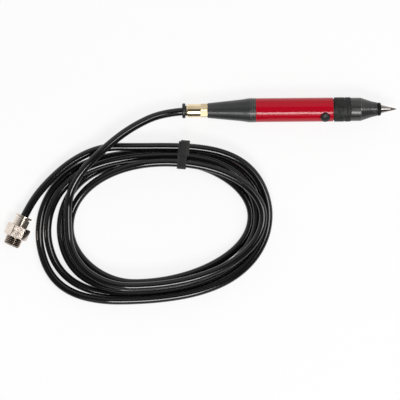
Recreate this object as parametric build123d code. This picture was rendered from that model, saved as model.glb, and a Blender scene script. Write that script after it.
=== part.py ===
from build123d import *

import os
from math import cos, pi, radians, sin, sqrt, tan

# An air driven engraving pen with its coiled and tied hose. Sizes are in millimetres.
# The pen lies along X with its point at +X. Its pieces are made about the X axis and
# raised at the end, so that the widest piece rests on the table at z = 0.

# Clearances
FIT = 0.03  # radial, pieces that are screwed or pressed together
RUN = 0.05  # radial, pieces that turn or slide
END_GAP = 0.1  # lengthwise, pieces that meet end to end
SEAL_PROUD = 0.02  # how far an O-ring stands out of its groove

# Pen outline, in order from the hose to the point
RING_LENGTH = 2.4
RING_DIAMETER = 11.2
RING_GAP = 1.9
RING_NECK_DIAMETER = 7.5
RING_ENTRY = 3.0
RING_TRAVEL = 0.7
FITTING_LENGTH = 9.3
FITTING_DIAMETER = 9.8
FITTING_NECK_LENGTH = 1.1  # stands out toward the ring
FITTING_NECK_WALL = 0.6
FITTING_HEX_LENGTH = 5.4
FITTING_HEX_FLATS = 10.0
FITTING_HEX_CLOCKING = 26.0
FITTING_THREAD_DIAMETER = 8.0
FITTING_THREAD_LENGTH = 6.5
CAP_LENGTH = 36.1
CAP_REAR_DIAMETER = 11.3
CAP_STEP = 0.1  # radial, from the sleeve out to the cap's land
CAP_LAND = 4.6
SLEEVE_LENGTH = 57.9
SLEEVE_DIAMETER = 18.0
SLEEVE_WALL = 0.75
SLEEVE_LIP = 1.0
WASHER_THICKNESS = 0.75
WASHER_WIDTH = 1.45
REGULATOR_LENGTH = 12.4
REGULATOR_STEP = 0.25  # radial, from the sleeve out to the knurled ring
REGULATOR_SWING = 60.0
NOSE_LENGTH = 7.6
NOSE_STEP = 0.25  # radial, from the sleeve in to the nose
CONE_LENGTH = 12.3
CONE_STEEP_LENGTH = 8.4
CONE_BREAK_DIAMETER = 11.8
CONE_FRONT_DIAMETER = 10.2
NOSE_RING_LENGTH = 3.0
NOSE_RING_DIAMETER = 9.9
POINT_LENGTH = 11.5
STYLUS_DIAMETER = 6.3

# Inside the pen
SHOULDER_STEP = 1.72  # radial, from the core in to its neck and its tail
TAIL_LENGTH = 9.0
NECK_ENTRY = 5.8
AIR_BORE = 5.0
PORT_BORE = 3.0
SEAL_SECTION = 1.0
FILTER_DIAMETER = 8.6
FILTER_LENGTH = 8.0
CLIP_THICKNESS = 0.8
NECK_WALL = 1.7  # of the core's neck around the liner
LINER_WALL = 0.9
PLUG_LENGTH = 2.4
HAMMER_LENGTH = 9.0
HAMMER_TRAVEL = 6.0
HAMMER_CUSHION = 0.8
STRIKE_GAP = 0.2
ANVIL_ENTRY = 2.0
ANVIL_CLEARANCE = 0.75
COLLAR_LENGTH = 1.8
BUSH_LENGTH = 6.2
BUSH_WALL = 1.1
SPRING_WIRE = 0.8
SPRING_TURNS = 4
SPRING_CLEARANCE = 0.3
TIP_LENGTH = 4.5
TIP_POINT_DIAMETER = 0.5
TIP_PIN_DIAMETER = 1.0
TIP_PIN_LENGTH = 2.5
STOP_PIN_DIAMETER = 1.5
STOP_PIN_PROUD = 0.8
STOP_MARGIN = 8.0
EXHAUST_PORT = 1.4

# Push button and its valve, along the button's own axis
BUTTON_SETBACK = 6.2
BUTTON_ANGLE = 40.0
BUTTON_DIAMETER = 7.2
BUTTON_PROUD = 2.4
BUTTON_TRAVEL = 1.1
FLANGE_WIDTH = 0.5
FLANGE_THICKNESS = 0.8
SPOOL_DIAMETER = 4.7
SPOOL_STUB_DIAMETER = 3.0
SPOOL_STUB_LENGTH = 1.8
VALVE_FLOOR = 1.82  # wall of the core under the valve's bore
BUTTON_SPRING_WIRE = 0.5
BUTTON_SPRING_LENGTH = 2.8
BUTTON_SPRING_TURNS = 3

# Hose
HOSE_DIAMETER = 6.0
HOSE_BORE = 4.0
CORNER_SHARE = 0.45  # part of the shorter run that a bend uses up on each side

# Corners of the hose from the pen to the coil. The first lies on the pen's axis, and
# the last is straight before the coil's start.
LEAD_STRAIGHT = 92.0
LEAD_CORNERS = ((-118.5, -12.0, 15.5), (-141.0, -29.8, 19.0), (-158.0, -47.0, 17.0))
LEAD_LAST_RUN = 19.3

# Coil of five loops. Each side has the middle of the bundle in the plan, the way out
# of the coil, the way the hose runs, a lean along it for every mm of lane, then the
# lane and the height above the table of loops 1 to 5.
TIE_LIFT = 1.8
COIL_LEFT = (
    (-177.2, -87.8), (-1, 0), (0, -1), -0.15,
    (-10.5, -11.0, -4.0, 5.7, 12.0), (8.5, 0, 0, 2.4, 0),
)
COIL_BOTTOM = (
    (-122.1, -135.9), (0, -1), (1, 0), -0.84,
    (-4.4, -6.4, -2.1, 2.1, 6.4), (14.0, 0, 5.6, 0, 5.6),
)
COIL_RIGHT = (
    (-21.9, -80.1), (1, 0), (0, 1), 0.0,
    (2.1, -6.4, -2.1, 2.1, 6.4), (15.0, 0, 5.6, 0, 5.6),
)
COIL_TOP = (
    (-91.2, -31.9), (0, 1), (-1, 0), 0.5,
    (-6.7, -5.025, -1.675, 1.675, 5.025),
    (TIE_LIFT + 16.0, TIE_LIFT, TIE_LIFT + 7.9, TIE_LIFT, TIE_LIFT + 6.8),
)
COIL_LOOPS = 5
CORNER_PUSH = (0.5, -0.8, 2.2, 2.6, 4.2)  # outwards in the corners, for loops 1 to 5
UPPER_LEFT_PUSH = (0.4, 4.6, 4.0, 5.6)  # in the corner where each loop runs into the next
COIL_START_DROP = 4.0

# Corners of the hose from the coil to the connector
TAIL_FIRST_RUN = 19.7
TAIL_CORNERS = ((-140.0, -26.4, 10.6), (-162.5, -36.0, 10.4), (-182.0, -52.6, 9.2))
TAIL_LAST_RUN = 18.0

# Strap around the coil
TIE_X = -80.5
TIE_WIDTH = 6.7
TIE_THICKNESS = 1.0
TIE_CLEARANCE = 0.45
TIE_SHIFT = 1.5  # sideways, from the strap to its free end

# Connector on the hose's far end, along its own axis from the hose
CONNECTOR_X = -199.5
CONNECTOR_Y = -77.9
CONNECTOR_HEADING = 245.4
CONNECTOR_CLOCKING = -10.0  # turn of the hexagon from a flat lying down
DISC_DIAMETER = 12.8
DISC_THICKNESS = 1.5
BARREL_LENGTH = 6.8
BARREL_DIAMETER = 11.4
BARREL_NECK_LENGTH = 1.0  # between the disc and the full barrel
BARREL_NECK_DIAMETER = 9.4
BARREL_LIP = 1.9  # closes round the hose behind the spigot
BODY_HEX_LENGTH = 8.9
BODY_HEX_FLATS = 16.0
THREAD_DIAMETER = 13.157
THREAD_LENGTH = 6.8
THREAD_PITCH = 1.337
THREAD_DEPTH = 0.7
SPIGOT_WALL = 1.2
SOCKET_DEPTH = 1.2
INSERT_WALL = 0.45

# Places along the pen that follow from the sizes
pen_length = (
    RING_LENGTH + RING_GAP + FITTING_LENGTH + FITTING_HEX_LENGTH + CAP_LENGTH + SLEEVE_LENGTH
    + WASHER_THICKNESS + REGULATOR_LENGTH + NOSE_LENGTH + CONE_LENGTH + NOSE_RING_LENGTH + POINT_LENGTH
)
x_ring = -pen_length / 2
x_neck_start = x_ring + RING_LENGTH
x_fitting = x_neck_start + RING_GAP
x_hex = x_fitting + FITTING_LENGTH
x_cap = x_hex + FITTING_HEX_LENGTH
x_sleeve = x_cap + CAP_LENGTH
x_washer = x_sleeve + SLEEVE_LENGTH
x_regulator = x_washer + WASHER_THICKNESS
x_nose = x_regulator + REGULATOR_LENGTH
x_cone = x_nose + NOSE_LENGTH
x_nose_ring = x_cone + CONE_LENGTH
x_point = x_nose_ring + NOSE_RING_LENGTH
x_tip = x_point + POINT_LENGTH
sleeve_radius = SLEEVE_DIAMETER / 2
cap_radius = sleeve_radius + CAP_STEP
regulator_radius = sleeve_radius + REGULATOR_STEP
nose_radius = sleeve_radius - NOSE_STEP
axis_height = max(sleeve_radius, cap_radius, regulator_radius, nose_radius)

hose_radius = HOSE_DIAMETER / 2
core_radius = sleeve_radius - SLEEVE_WALL - FIT
tail_radius = core_radius - SHOULDER_STEP
neck_radius = core_radius - SHOULDER_STEP
washer_radius = neck_radius + 3 * RUN + WASHER_WIDTH
liner_radius = neck_radius - NECK_WALL
liner_bore = liner_radius - LINER_WALL
anvil_radius = liner_bore - ANVIL_CLEARANCE
stylus_radius = STYLUS_DIAMETER / 2

x_shoulder = x_washer - SLEEVE_LIP
x_neck_end = x_nose + NECK_ENTRY
x_anvil = x_neck_end - ANVIL_ENTRY
x_hammer = x_anvil - STRIKE_GAP - HAMMER_LENGTH
x_liner = x_hammer - HAMMER_TRAVEL - HAMMER_CUSHION
x_plug = x_liner - PLUG_LENGTH
x_button = x_washer - BUTTON_SETBACK
x_port = x_regulator + REGULATOR_LENGTH / 2
x_stop = x_port + 2.8
x_regulator_seal = x_nose - 1.4
x_nose_seal = x_nose + 1.6
x_tail = x_sleeve - TAIL_LENGTH
x_tail_seal = x_tail + 2.0
x_clip = x_tail - END_GAP - 1.6 - CLIP_THICKNESS
x_filter = x_clip - END_GAP - FILTER_LENGTH
x_thread_end = x_cap + FITTING_THREAD_LENGTH

x_collar = x_neck_end + END_GAP
x_bush = x_nose_ring - BUSH_LENGTH
spring_radius = stylus_radius + SPRING_CLEARANCE + SPRING_WIRE / 2
chamber_radius = spring_radius + SPRING_WIRE / 2 + 0.5
bush_radius = stylus_radius + RUN + BUSH_WALL
bush_spigot_radius = bush_radius - 0.5
bush_spigot_length = NOSE_RING_LENGTH - 1.0

ring_neck_radius = RING_NECK_DIAMETER / 2
cavity_radius = ring_neck_radius + RUN
x_collet = x_fitting + RING_ENTRY + RING_TRAVEL + 0.3
collet_length = 1.5
x_tube_seal = x_collet + collet_length + 0.6
x_cavity_end = x_tube_seal + 0.6
x_tube_stop = x_hex + 1.0

# Heights along the button's axis, from the pen's axis
flange_radius = BUTTON_DIAMETER / 2 + FLANGE_WIDTH
sleeve_bore = sleeve_radius - SLEEVE_WALL
flange_top = sqrt(sleeve_bore ** 2 - flange_radius ** 2) - END_GAP
flange_bottom = flange_top - FLANGE_THICKNESS
well_bottom = flange_bottom - BUTTON_TRAVEL - 0.2
button_top = sleeve_radius + BUTTON_PROUD
spool_radius = SPOOL_DIAMETER / 2
spool_bore = spool_radius + RUN
spool_waist_top = flange_bottom - 2.6
spool_waist_bottom = PORT_BORE / 2 + 0.4
upper_seal_height = (flange_bottom + spool_waist_top) / 2 - 0.2
spool_bore_bottom = VALVE_FLOOR - core_radius
spool_foot = spool_bore_bottom + BUTTON_SPRING_LENGTH
lower_seal_height = spool_foot + 1.0


def rod(start, end, radius):
    """Cylinder about the X axis."""
    return Pos((start + end) / 2, 0, 0) * Rot(0, 90, 0) * Cylinder(radius, end - start)


def tube(start, end, bore, radius):
    """Cylinder about the X axis with a round bore."""
    return rod(start, end, radius) - rod(start - 1, end + 1, bore)


def turned(*outline):
    """Solid turned about the X axis from corners given as (x, radius)."""
    return revolve(make_face(Polyline(*outline, close=True)), axis=Axis.X)


def upright(*outline):
    """Solid turned about the Z axis from corners given as (radius, z)."""
    return revolve(Plane.XZ * make_face(Polyline(*outline, close=True)), axis=Axis.Z)


def barrel(start, end, radius, edge):
    """Cylinder about the X axis with both outer edges broken by a chamfer."""
    return turned(
        (start, 0), (start, radius - edge), (start + edge, radius),
        (end - edge, radius), (end, radius - edge), (end, 0),
    )


def hexagon(start, end, flats, clocking=0.0):
    """Hexagon bar about the X axis with turned corners. A flat lies down at clocking 0."""
    plane = Plane(origin=(start, 0, 0), x_dir=(0, 1, 0), z_dir=(1, 0, 0))
    bar = extrude(plane * RegularPolygon(flats / 2, 6, major_radius=False, rotation=clocking), end - start)
    corner = flats / 2 / cos(pi / 6)
    edge = (corner - flats / 2) * tan(pi / 6)
    blank = turned(
        (start, 0), (start, flats / 2), (start + edge, corner + 0.01),
        (end - edge, corner + 0.01), (end, flats / 2), (end, 0),
    )
    return bar & blank


def seal(x, radius):
    """O-ring in the groove of a spigot with this radius."""
    ring = Torus(radius + SEAL_PROUD - SEAL_SECTION / 2, SEAL_SECTION / 2)
    return Pos(x, 0, 0) * Rot(0, 90, 0) * ring


def seal_groove(x, radius):
    """Cutter for an O-ring's groove."""
    half = SEAL_SECTION * 0.6
    return tube(x - half, x + half, radius - SEAL_SECTION, radius + 1)


def arc_groove(start, end, bore, radius, first, swing):
    """Cutter that goes part of the way round the X axis, first and swing in degrees from +Y."""
    section = make_face(Polyline((start, bore), (end, bore), (end, radius), (start, radius), close=True))
    return Rot(first, 0, 0) * revolve(section, axis=Axis.X, revolution_arc=swing)


def radial_pin(x, low, high, diameter):
    """Pin that points straight down from the X axis."""
    return Pos(x, 0, -(low + high) / 2) * Cylinder(diameter / 2, high - low)


def at_button(piece):
    """Moves a piece made about the Z axis to the button's place and lean."""
    return Pos(x_button, 0, 0) * Rot(BUTTON_ANGLE, 0, 0) * piece


def biarc(start, start_way, end, end_way):
    """Two arcs that leave start along start_way and reach end along end_way."""
    step = end - start
    ways = start_way + end_way
    spread = 2 * (1 - start_way.dot(end_way))
    reach = step.dot(ways)
    leg = (sqrt(reach * reach + spread * step.dot(step)) - reach) / spread
    corner_a = start + start_way * leg
    corner_b = end - end_way * leg
    joint = (corner_a + corner_b) * 0.5
    return [bend(start, corner_a, joint), bend(joint, corner_b, end)]


def bend(start, corner, end):
    """Arc from start to end that touches both lines to the corner."""
    chord_middle = (start + end) * 0.5
    half = (end - start).length / 2
    rise = (corner - chord_middle).length
    radius = half * (corner - start).length / rise
    sagitta = radius - sqrt(radius * radius - half * half)
    top = chord_middle + (corner - chord_middle).normalized() * sagitta
    return Edge.make_three_point_arc(start, top, end)


def swept(section, edges):
    """Section drawn on the XY plane, swept along joined edges."""
    path = Wire(edges)
    return sweep(Plane(origin=path @ 0, z_dir=path % 0) * section, path=path)


def spring(bottom, top, radius, turns, wire):
    """Wound spring about the Z axis between two heights."""
    low = bottom + wire / 2 + END_GAP
    high = top - wire / 2 - END_GAP
    stations = []
    for quarter in range(4 * turns + 1):
        angle = quarter * pi / 2
        place = Vector(radius * cos(angle), radius * sin(angle), low + (high - low) * quarter / (4 * turns))
        climb = (high - low) / (turns * 2 * pi)
        way = Vector(-radius * sin(angle), radius * cos(angle), climb).normalized()
        stations.append((place, way))
    edges = []
    for first, second in zip(stations, stations[1:]):
        edges += biarc(*first, *second)
    return swept(Circle(wire / 2), edges)


def hose_run(name, corners):
    """Hose with a bend at each corner, straight between them."""
    points = [Vector(*corner) for corner in corners]
    runs = [(b - a).length for a, b in zip(points, points[1:])]
    radii = []
    for a, b, c, before, after in zip(points, points[1:], points[2:], runs, runs[1:]):
        turn = radians((b - a).get_angle(c - b))
        radii.append(CORNER_SHARE * min(before, after) / tan(turn / 2))
    path = FilletPolyline(*points, radius=radii)
    section = Circle(hose_radius) - Circle(HOSE_BORE / 2)
    hose = sweep(Plane(origin=path @ 0, z_dir=path % 0) * section, path=path)
    print(name, "runs", [round(run, 1) for run in runs], "radii", [round(radius, 1) for radius in radii])
    compare_volume(name, hose, path.length)
    return hose


def compare_volume(name, hose, length):
    """Prints a hose's volume beside that of its section times its length."""
    expected = pi * (hose_radius ** 2 - HOSE_BORE ** 2 / 4) * length
    print(name, "length", round(length, 1), "volume", round(hose.volume, 1), "of", round(expected, 1))


def coil_station(side, loop):
    """Place and way of the hose on one side of one loop."""
    middle, out, way, lean, lanes, heights = side
    lane = lanes[loop]
    x = middle[0] + out[0] * lane + abs(way[0]) * lean * lane
    y = middle[1] + out[1] * lane + abs(way[1]) * lean * lane
    return Vector(x, y, heights[loop] + hose_radius), Vector(way[0], way[1], 0)


def coil_corner(first, second, push):
    """Place and way of the hose in the middle of the corner between two sides."""
    start, way = first
    step = second[0] - start
    along = way * step.dot(way)
    across = Vector(step.X, step.Y, 0) - along
    out = Vector(step.Y, -step.X, 0).normalized()
    rise = Vector(0, 0, step.Z / 2)
    place = start + along * sin(pi / 4) + across * (1 - cos(pi / 4)) + rise + out * push
    return place, Vector(step.X, step.Y, step.Z * pi / 2).normalized()


def least_gap(edges):
    """Least gap between turns of the coil, measured on points along its path."""
    points = []
    lengths = []
    travelled = 0.0
    for edge in edges:
        for part in range(16):
            points.append(edge @ (part / 16))
            lengths.append(travelled + edge.length * part / 16)
        travelled += edge.length
    least = 1000.0
    for i, first in enumerate(points):
        for j in range(i + 1, len(points)):
            if lengths[j] - lengths[i] > 10 * HOSE_DIAMETER:
                least = min(least, (points[j] - first).length - HOSE_DIAMETER)
    return least


# Hose coil: its stations, its path and its two straight ends
coil_stations = []
for loop in range(COIL_LOOPS):
    for side in (COIL_LEFT, COIL_BOTTOM, COIL_RIGHT, COIL_TOP):
        coil_stations.append(coil_station(side, loop))
first_place, first_way = coil_stations[0]
coil_stations[0] = (first_place + first_way * COIL_START_DROP, first_way)
first_place = coil_stations[0][0]
last_place, last_way = coil_stations[-1]
coil_start = first_place - first_way * HOSE_DIAMETER
coil_end = last_place + last_way * HOSE_DIAMETER
coil_edges = [Edge.make_line(coil_start, first_place)]
for number, (first, second) in enumerate(zip(coil_stations, coil_stations[1:]), 1):
    loop, corner_number = divmod(number, 4)
    push = CORNER_PUSH[loop] if corner_number else UPPER_LEFT_PUSH[loop - 1]
    corner = coil_corner(first, second, push)
    coil_edges += biarc(*first, *corner)
    coil_edges += biarc(*corner, *second)
coil_edges.append(Edge.make_line(last_place, coil_end))

# Connector places along its own axis
connector_way = Vector(cos(radians(CONNECTOR_HEADING)), sin(radians(CONNECTOR_HEADING)), 0)
corner_lean = radians(30 - abs(CONNECTOR_CLOCKING))  # of the corner that the big hexagon lies on
connector_height = BODY_HEX_FLATS / 2 / cos(pi / 6) * cos(corner_lean)
connector_place = Vector(CONNECTOR_X, CONNECTOR_Y, connector_height)
a_barrel = DISC_THICKNESS
a_hex = a_barrel + BARREL_LENGTH
a_thread = a_hex + BODY_HEX_LENGTH
a_end = a_thread + THREAD_LENGTH
a_spigot = a_barrel + BARREL_LIP + END_GAP
a_socket = a_hex + SOCKET_DEPTH
a_hose_end = a_socket - END_GAP
spigot_radius = hose_radius + RUN + SPIGOT_WALL


def at_connector(piece):
    """Moves a piece made along the X axis to the connector's place and heading."""
    return Pos(*connector_place) * Rot(0, 0, CONNECTOR_HEADING) * piece


# Hose routes
x_hose_start = x_tube_stop - END_GAP
lead_route = [
    (x_hose_start, 0, axis_height), (-LEAD_STRAIGHT, 0, axis_height), *LEAD_CORNERS,
    coil_start - first_way * LEAD_LAST_RUN, coil_start,
]
hose_far_end = connector_place + connector_way * a_hose_end
tail_route = [
    coil_end, coil_end + last_way * TAIL_FIRST_RUN, *TAIL_CORNERS,
    hose_far_end - connector_way * TAIL_LAST_RUN, hose_far_end,
]


def make_release_ring():
    flange = barrel(x_ring, x_neck_start, RING_DIAMETER / 2, 0.5)
    neck = rod(x_neck_start - 0.5, x_fitting + RING_ENTRY, ring_neck_radius)
    return flange + neck - rod(x_ring - 1, x_fitting + RING_ENTRY + 1, hose_radius + 3 * RUN)


def make_inlet_fitting():
    body = barrel(x_fitting, x_hex + 1, FITTING_DIAMETER / 2, 0.5)
    body += hexagon(x_hex, x_cap, FITTING_HEX_FLATS, FITTING_HEX_CLOCKING)
    body += rod(x_cap - 1, x_thread_end, FITTING_THREAD_DIAMETER / 2)
    body += barrel(x_fitting - FITTING_NECK_LENGTH, x_fitting + 1, cavity_radius + FITTING_NECK_WALL, 0.2)
    body -= rod(x_ring, x_cavity_end, cavity_radius)
    body -= rod(x_fitting, x_tube_stop, hose_radius + RUN)
    return body - rod(x_fitting, x_thread_end + 1, HOSE_BORE / 2)


def make_grip_collet():
    grip = hose_radius + FIT
    rim = cavity_radius - FIT
    return turned(
        (x_collet, rim), (x_collet, grip + 0.35), (x_collet + 0.5, grip + 0.3),
        (x_collet + collet_length - 0.4, grip), (x_collet + collet_length, grip),
        (x_collet + collet_length, rim),
    )


def make_tube_seal():
    section = (cavity_radius - hose_radius) / 2
    ring = Torus(hose_radius + section, section - SEAL_PROUD)
    return Pos(x_tube_seal, 0, 0) * Rot(0, 90, 0) * ring


def make_rear_cap():
    rear = CAP_REAR_DIAMETER / 2
    front = cap_radius
    x_land = x_sleeve - CAP_LAND
    cap = turned(
        (x_cap, 0), (x_cap, rear - 0.4), (x_cap + 0.4, rear), (x_cap + 2, rear + 0.15),
        (x_land - 2.7, front - 0.32), (x_land - 0.9, front - 0.1), (x_land + 1.2, front),
        (x_sleeve - 0.2, front), (x_sleeve, front - 0.2), (x_sleeve, 0),
    )
    for line in range(3):
        x = x_sleeve - 1.0 - line * 1.4
        cap -= tube(x - 0.15, x + 0.15, front - 0.15, front + 1)
    cap -= rod(x_cap - 1, x_thread_end + END_GAP, FITTING_THREAD_DIAMETER / 2 + FIT)
    cap -= rod(x_cap, x_filter, HOSE_BORE / 2)
    cap -= rod(x_filter - END_GAP, x_tail, FILTER_DIAMETER / 2 + FIT)
    cap -= rod(x_clip - END_GAP, x_clip + CLIP_THICKNESS + END_GAP, FILTER_DIAMETER / 2 + 0.6)
    return cap - rod(x_tail - END_GAP, x_sleeve + 1, tail_radius + FIT)


def make_air_filter():
    return barrel(x_filter, x_filter + FILTER_LENGTH, FILTER_DIAMETER / 2, 0.4)


def make_filter_clip():
    clip = tube(x_clip, x_clip + CLIP_THICKNESS, FILTER_DIAMETER / 2 - 0.9, FILTER_DIAMETER / 2 + 0.55)
    return clip - Pos(x_clip, FILTER_DIAMETER / 2, 0) * Box(4, FILTER_DIAMETER, 2)


def make_body_sleeve():
    outer = sleeve_radius
    sleeve = turned(
        (x_sleeve, 0), (x_sleeve, outer - 0.15), (x_sleeve + 0.15, outer), (x_washer - 0.6, outer),
        (x_washer - 0.25, outer - 0.12), (x_washer, outer - 0.5), (x_washer, 0),
    )
    sleeve -= rod(x_sleeve - 1, x_shoulder + END_GAP, sleeve_bore)
    sleeve -= rod(x_sleeve, x_washer + 1, neck_radius + 3 * RUN)
    hole = upright((0, 2), (BUTTON_DIAMETER / 2 + 2 * RUN, 2), (BUTTON_DIAMETER / 2 + 2 * RUN, 20), (0, 20))
    return sleeve - at_button(hole)


def make_body_core():
    core = rod(x_sleeve, x_shoulder, core_radius)
    core += rod(x_tail, x_sleeve + 1, tail_radius)
    core += rod(x_shoulder - 1, x_neck_end, neck_radius)
    core -= rod(x_tail - 1, x_button, AIR_BORE / 2)
    core -= rod(x_button, x_plug, PORT_BORE / 2)
    core -= rod(x_plug, x_neck_end + 1, liner_radius + FIT)
    core -= seal_groove(x_tail_seal, tail_radius)
    core -= seal_groove(x_regulator_seal, neck_radius)
    core -= seal_groove(x_nose_seal, neck_radius)
    well_radius = flange_radius + 3 * RUN
    valve = upright(
        (0, spool_bore_bottom), (spool_bore, spool_bore_bottom), (spool_bore, well_bottom),
        (well_radius, well_bottom), (well_radius, 20), (0, 20),
    )
    core -= at_button(valve)
    core -= radial_pin(x_port, liner_radius - 1, neck_radius + 1, EXHAUST_PORT)
    return core - radial_pin(x_stop, neck_radius - 1.5, neck_radius + 1, STOP_PIN_DIAMETER + 2 * FIT)


def make_button_cap():
    radius = BUTTON_DIAMETER / 2
    cap = upright(
        (0, flange_bottom), (flange_radius, flange_bottom), (flange_radius, flange_top),
        (radius, flange_top),
        (radius, button_top - 0.9), (radius - 0.25, button_top - 0.45), (radius - 0.9, button_top - 0.12),
        (radius - 2.0, button_top), (0, button_top),
    )
    stub = SPOOL_STUB_DIAMETER / 2 + FIT
    top = flange_bottom + SPOOL_STUB_LENGTH + END_GAP
    cap -= upright((0, flange_bottom - 1), (stub, flange_bottom - 1), (stub, top), (0, top))
    return at_button(cap)


def make_valve_spool():
    stub = SPOOL_STUB_DIAMETER / 2
    top = flange_bottom + SPOOL_STUB_LENGTH
    half = SEAL_SECTION * 0.6
    groove = spool_radius - SEAL_SECTION
    waist = spool_radius - 1.1
    spool = upright(
        (0, spool_foot), (spool_radius - 0.3, spool_foot), (spool_radius, spool_foot + 0.3),
        (spool_radius, lower_seal_height - half), (groove, lower_seal_height - half),
        (groove, lower_seal_height + half), (spool_radius, lower_seal_height + half),
        (spool_radius, spool_waist_bottom), (waist, spool_waist_bottom + 0.3),
        (waist, spool_waist_top - 0.3), (spool_radius, spool_waist_top),
        (spool_radius, upper_seal_height - half), (groove, upper_seal_height - half),
        (groove, upper_seal_height + half), (spool_radius, upper_seal_height + half),
        (spool_radius, flange_bottom), (stub, flange_bottom), (stub, top), (0, top),
    )
    return at_button(spool)


def make_spool_seal(height):
    ring = Torus(spool_radius + SEAL_PROUD - SEAL_SECTION / 2, SEAL_SECTION / 2)
    return at_button(Pos(0, 0, height) * ring)


def make_button_spring():
    radius = spool_radius - 0.5 - BUTTON_SPRING_WIRE / 2
    wound = spring(spool_bore_bottom, spool_foot, radius, BUTTON_SPRING_TURNS, BUTTON_SPRING_WIRE)
    return at_button(wound)


def make_cylinder_plug():
    return tube(x_plug, x_liner - END_GAP / 2, 0.8, liner_radius)


def make_hammer_cylinder():
    liner = tube(x_liner, x_neck_end, liner_bore, liner_radius)
    return liner - radial_pin(x_port, liner_bore - 1, liner_radius + 1, EXHAUST_PORT)


def make_hammer():
    radius = liner_bore - RUN
    x_front = x_hammer + HAMMER_LENGTH
    hammer = turned(
        (x_hammer, 0), (x_hammer, radius - 0.5), (x_hammer + 0.5, radius), (x_front - 1.6, radius),
        (x_front - 1.2, radius - 0.6), (x_front - 0.4, radius - 0.6), (x_front, radius - 1.0), (x_front, 0),
    )
    for groove in range(2):
        x = x_hammer + HAMMER_LENGTH * (0.3 + 0.25 * groove)
        hammer -= tube(x - 0.3, x + 0.3, radius - 0.3, radius + 1)
    return hammer


def make_thrust_washer():
    washer = tube(x_washer, x_regulator, neck_radius + 3 * RUN, washer_radius)
    for third in range(3):
        notch = Pos(x_regulator, 0, 0) * Rot(120 * third, 0, 0) * Pos(0, 0, -washer_radius)
        washer -= notch * Box(WASHER_THICKNESS, 1.2, 2 * washer_radius)
    return washer


def make_regulator_ring():
    outer = regulator_radius
    start = x_regulator + END_GAP
    end = x_nose - END_GAP
    x_step = start + REGULATOR_LENGTH * 0.64
    ring = turned(
        (start, 0), (start, outer - 0.5), (start + 0.5, outer),
        (x_step - 0.3, outer), (x_step, outer - 0.5), (x_step + 0.5, outer - 0.5), (x_step + 0.8, outer),
        (end - 0.4, outer), (end, outer - 0.4), (end, 0),
    )
    ring -= rod(start - 1, end + 1, neck_radius + RUN)
    ring -= arc_groove(x_port - 1.2, x_port + 1.2, neck_radius - 1, neck_radius + 1.0, 250, 200)
    for flute in (290, 350, 50):
        cut = Rot(flute, 0, 0) * Pos(0, neck_radius + 0.4, 0) * rod(start - 1, x_port, 0.6)
        ring -= cut
    half = STOP_PIN_DIAMETER / 2 + 3 * RUN
    reach = REGULATOR_SWING + STOP_MARGIN
    top = neck_radius + STOP_PIN_PROUD + 4 * RUN
    return ring - arc_groove(x_stop - half, x_stop + half, neck_radius - 1, top, 270 - reach, 2 * reach)


def make_stop_pin():
    return radial_pin(x_stop, neck_radius - 1.5 + END_GAP, neck_radius + STOP_PIN_PROUD, STOP_PIN_DIAMETER)


def make_nose_cone():
    outer = nose_radius
    nose = turned(
        (x_nose, 0), (x_nose, outer - 0.3), (x_nose + 0.3, outer), (x_cone - 0.3, outer),
        (x_cone + 0.3, outer - 0.2), (x_cone + CONE_STEEP_LENGTH, CONE_BREAK_DIAMETER / 2),
        (x_nose_ring - 0.15, CONE_FRONT_DIAMETER / 2), (x_nose_ring, CONE_FRONT_DIAMETER / 2 - 0.15),
        (x_nose_ring, 0),
    )
    nose -= rod(x_nose - 1, x_neck_end + END_GAP / 2, neck_radius + FIT)
    nose -= rod(x_nose, x_bush, chamber_radius)
    return nose - rod(x_nose, x_nose_ring + 1, bush_radius + FIT)


def make_guide_bush():
    bush = rod(x_bush, x_nose_ring, bush_radius)
    bush += rod(x_nose_ring - 1, x_nose_ring + bush_spigot_length, bush_spigot_radius)
    return bush - rod(x_bush - 1, x_point, stylus_radius + RUN)


def make_nose_ring():
    ring = barrel(x_nose_ring, x_point, NOSE_RING_DIAMETER / 2, 0.5)
    ring -= rod(x_nose_ring - 1, x_nose_ring + bush_spigot_length + END_GAP, bush_spigot_radius + FIT)
    return ring - rod(x_nose_ring, x_point + 1, stylus_radius + 0.3)


def point_radius(x):
    """Radius of the needle's cone at a place along the pen."""
    small = TIP_POINT_DIAMETER / 2
    return small + (stylus_radius - small) * (x_tip - x) / POINT_LENGTH


def make_stylus_shank():
    x_seat = x_tip - TIP_LENGTH
    collar = chamber_radius - 0.3
    shank = turned(
        (x_anvil, 0), (x_anvil, anvil_radius - 0.5), (x_anvil + 0.5, anvil_radius),
        (x_collar, anvil_radius),
        (x_collar, collar), (x_collar + COLLAR_LENGTH, collar), (x_collar + COLLAR_LENGTH, stylus_radius),
        (x_point, stylus_radius), (x_seat, point_radius(x_seat)), (x_seat, 0),
    )
    return shank - rod(x_seat - TIP_PIN_LENGTH - END_GAP, x_seat + 1, TIP_PIN_DIAMETER / 2 + FIT)


def make_stylus_tip():
    x_seat = x_tip - TIP_LENGTH
    tip = turned((x_seat, 0), (x_seat, point_radius(x_seat)), (x_tip, point_radius(x_tip)), (x_tip, 0))
    return tip + rod(x_seat - TIP_PIN_LENGTH, x_seat + 0.5, TIP_PIN_DIAMETER / 2)


def make_stylus_spring():
    start = x_collar + COLLAR_LENGTH
    wound = spring(0, x_bush - start, spring_radius, SPRING_TURNS, SPRING_WIRE)
    return Pos(start, 0, 0) * Rot(0, 90, 0) * wound


def make_hose_coil():
    section = Circle(hose_radius) - Circle(HOSE_BORE / 2)
    coil = swept(section, coil_edges)
    compare_volume("hose_coil", coil, sum(edge.length for edge in coil_edges))
    print("hose_coil least gap between turns", round(least_gap(coil_edges), 2))
    return coil


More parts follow.
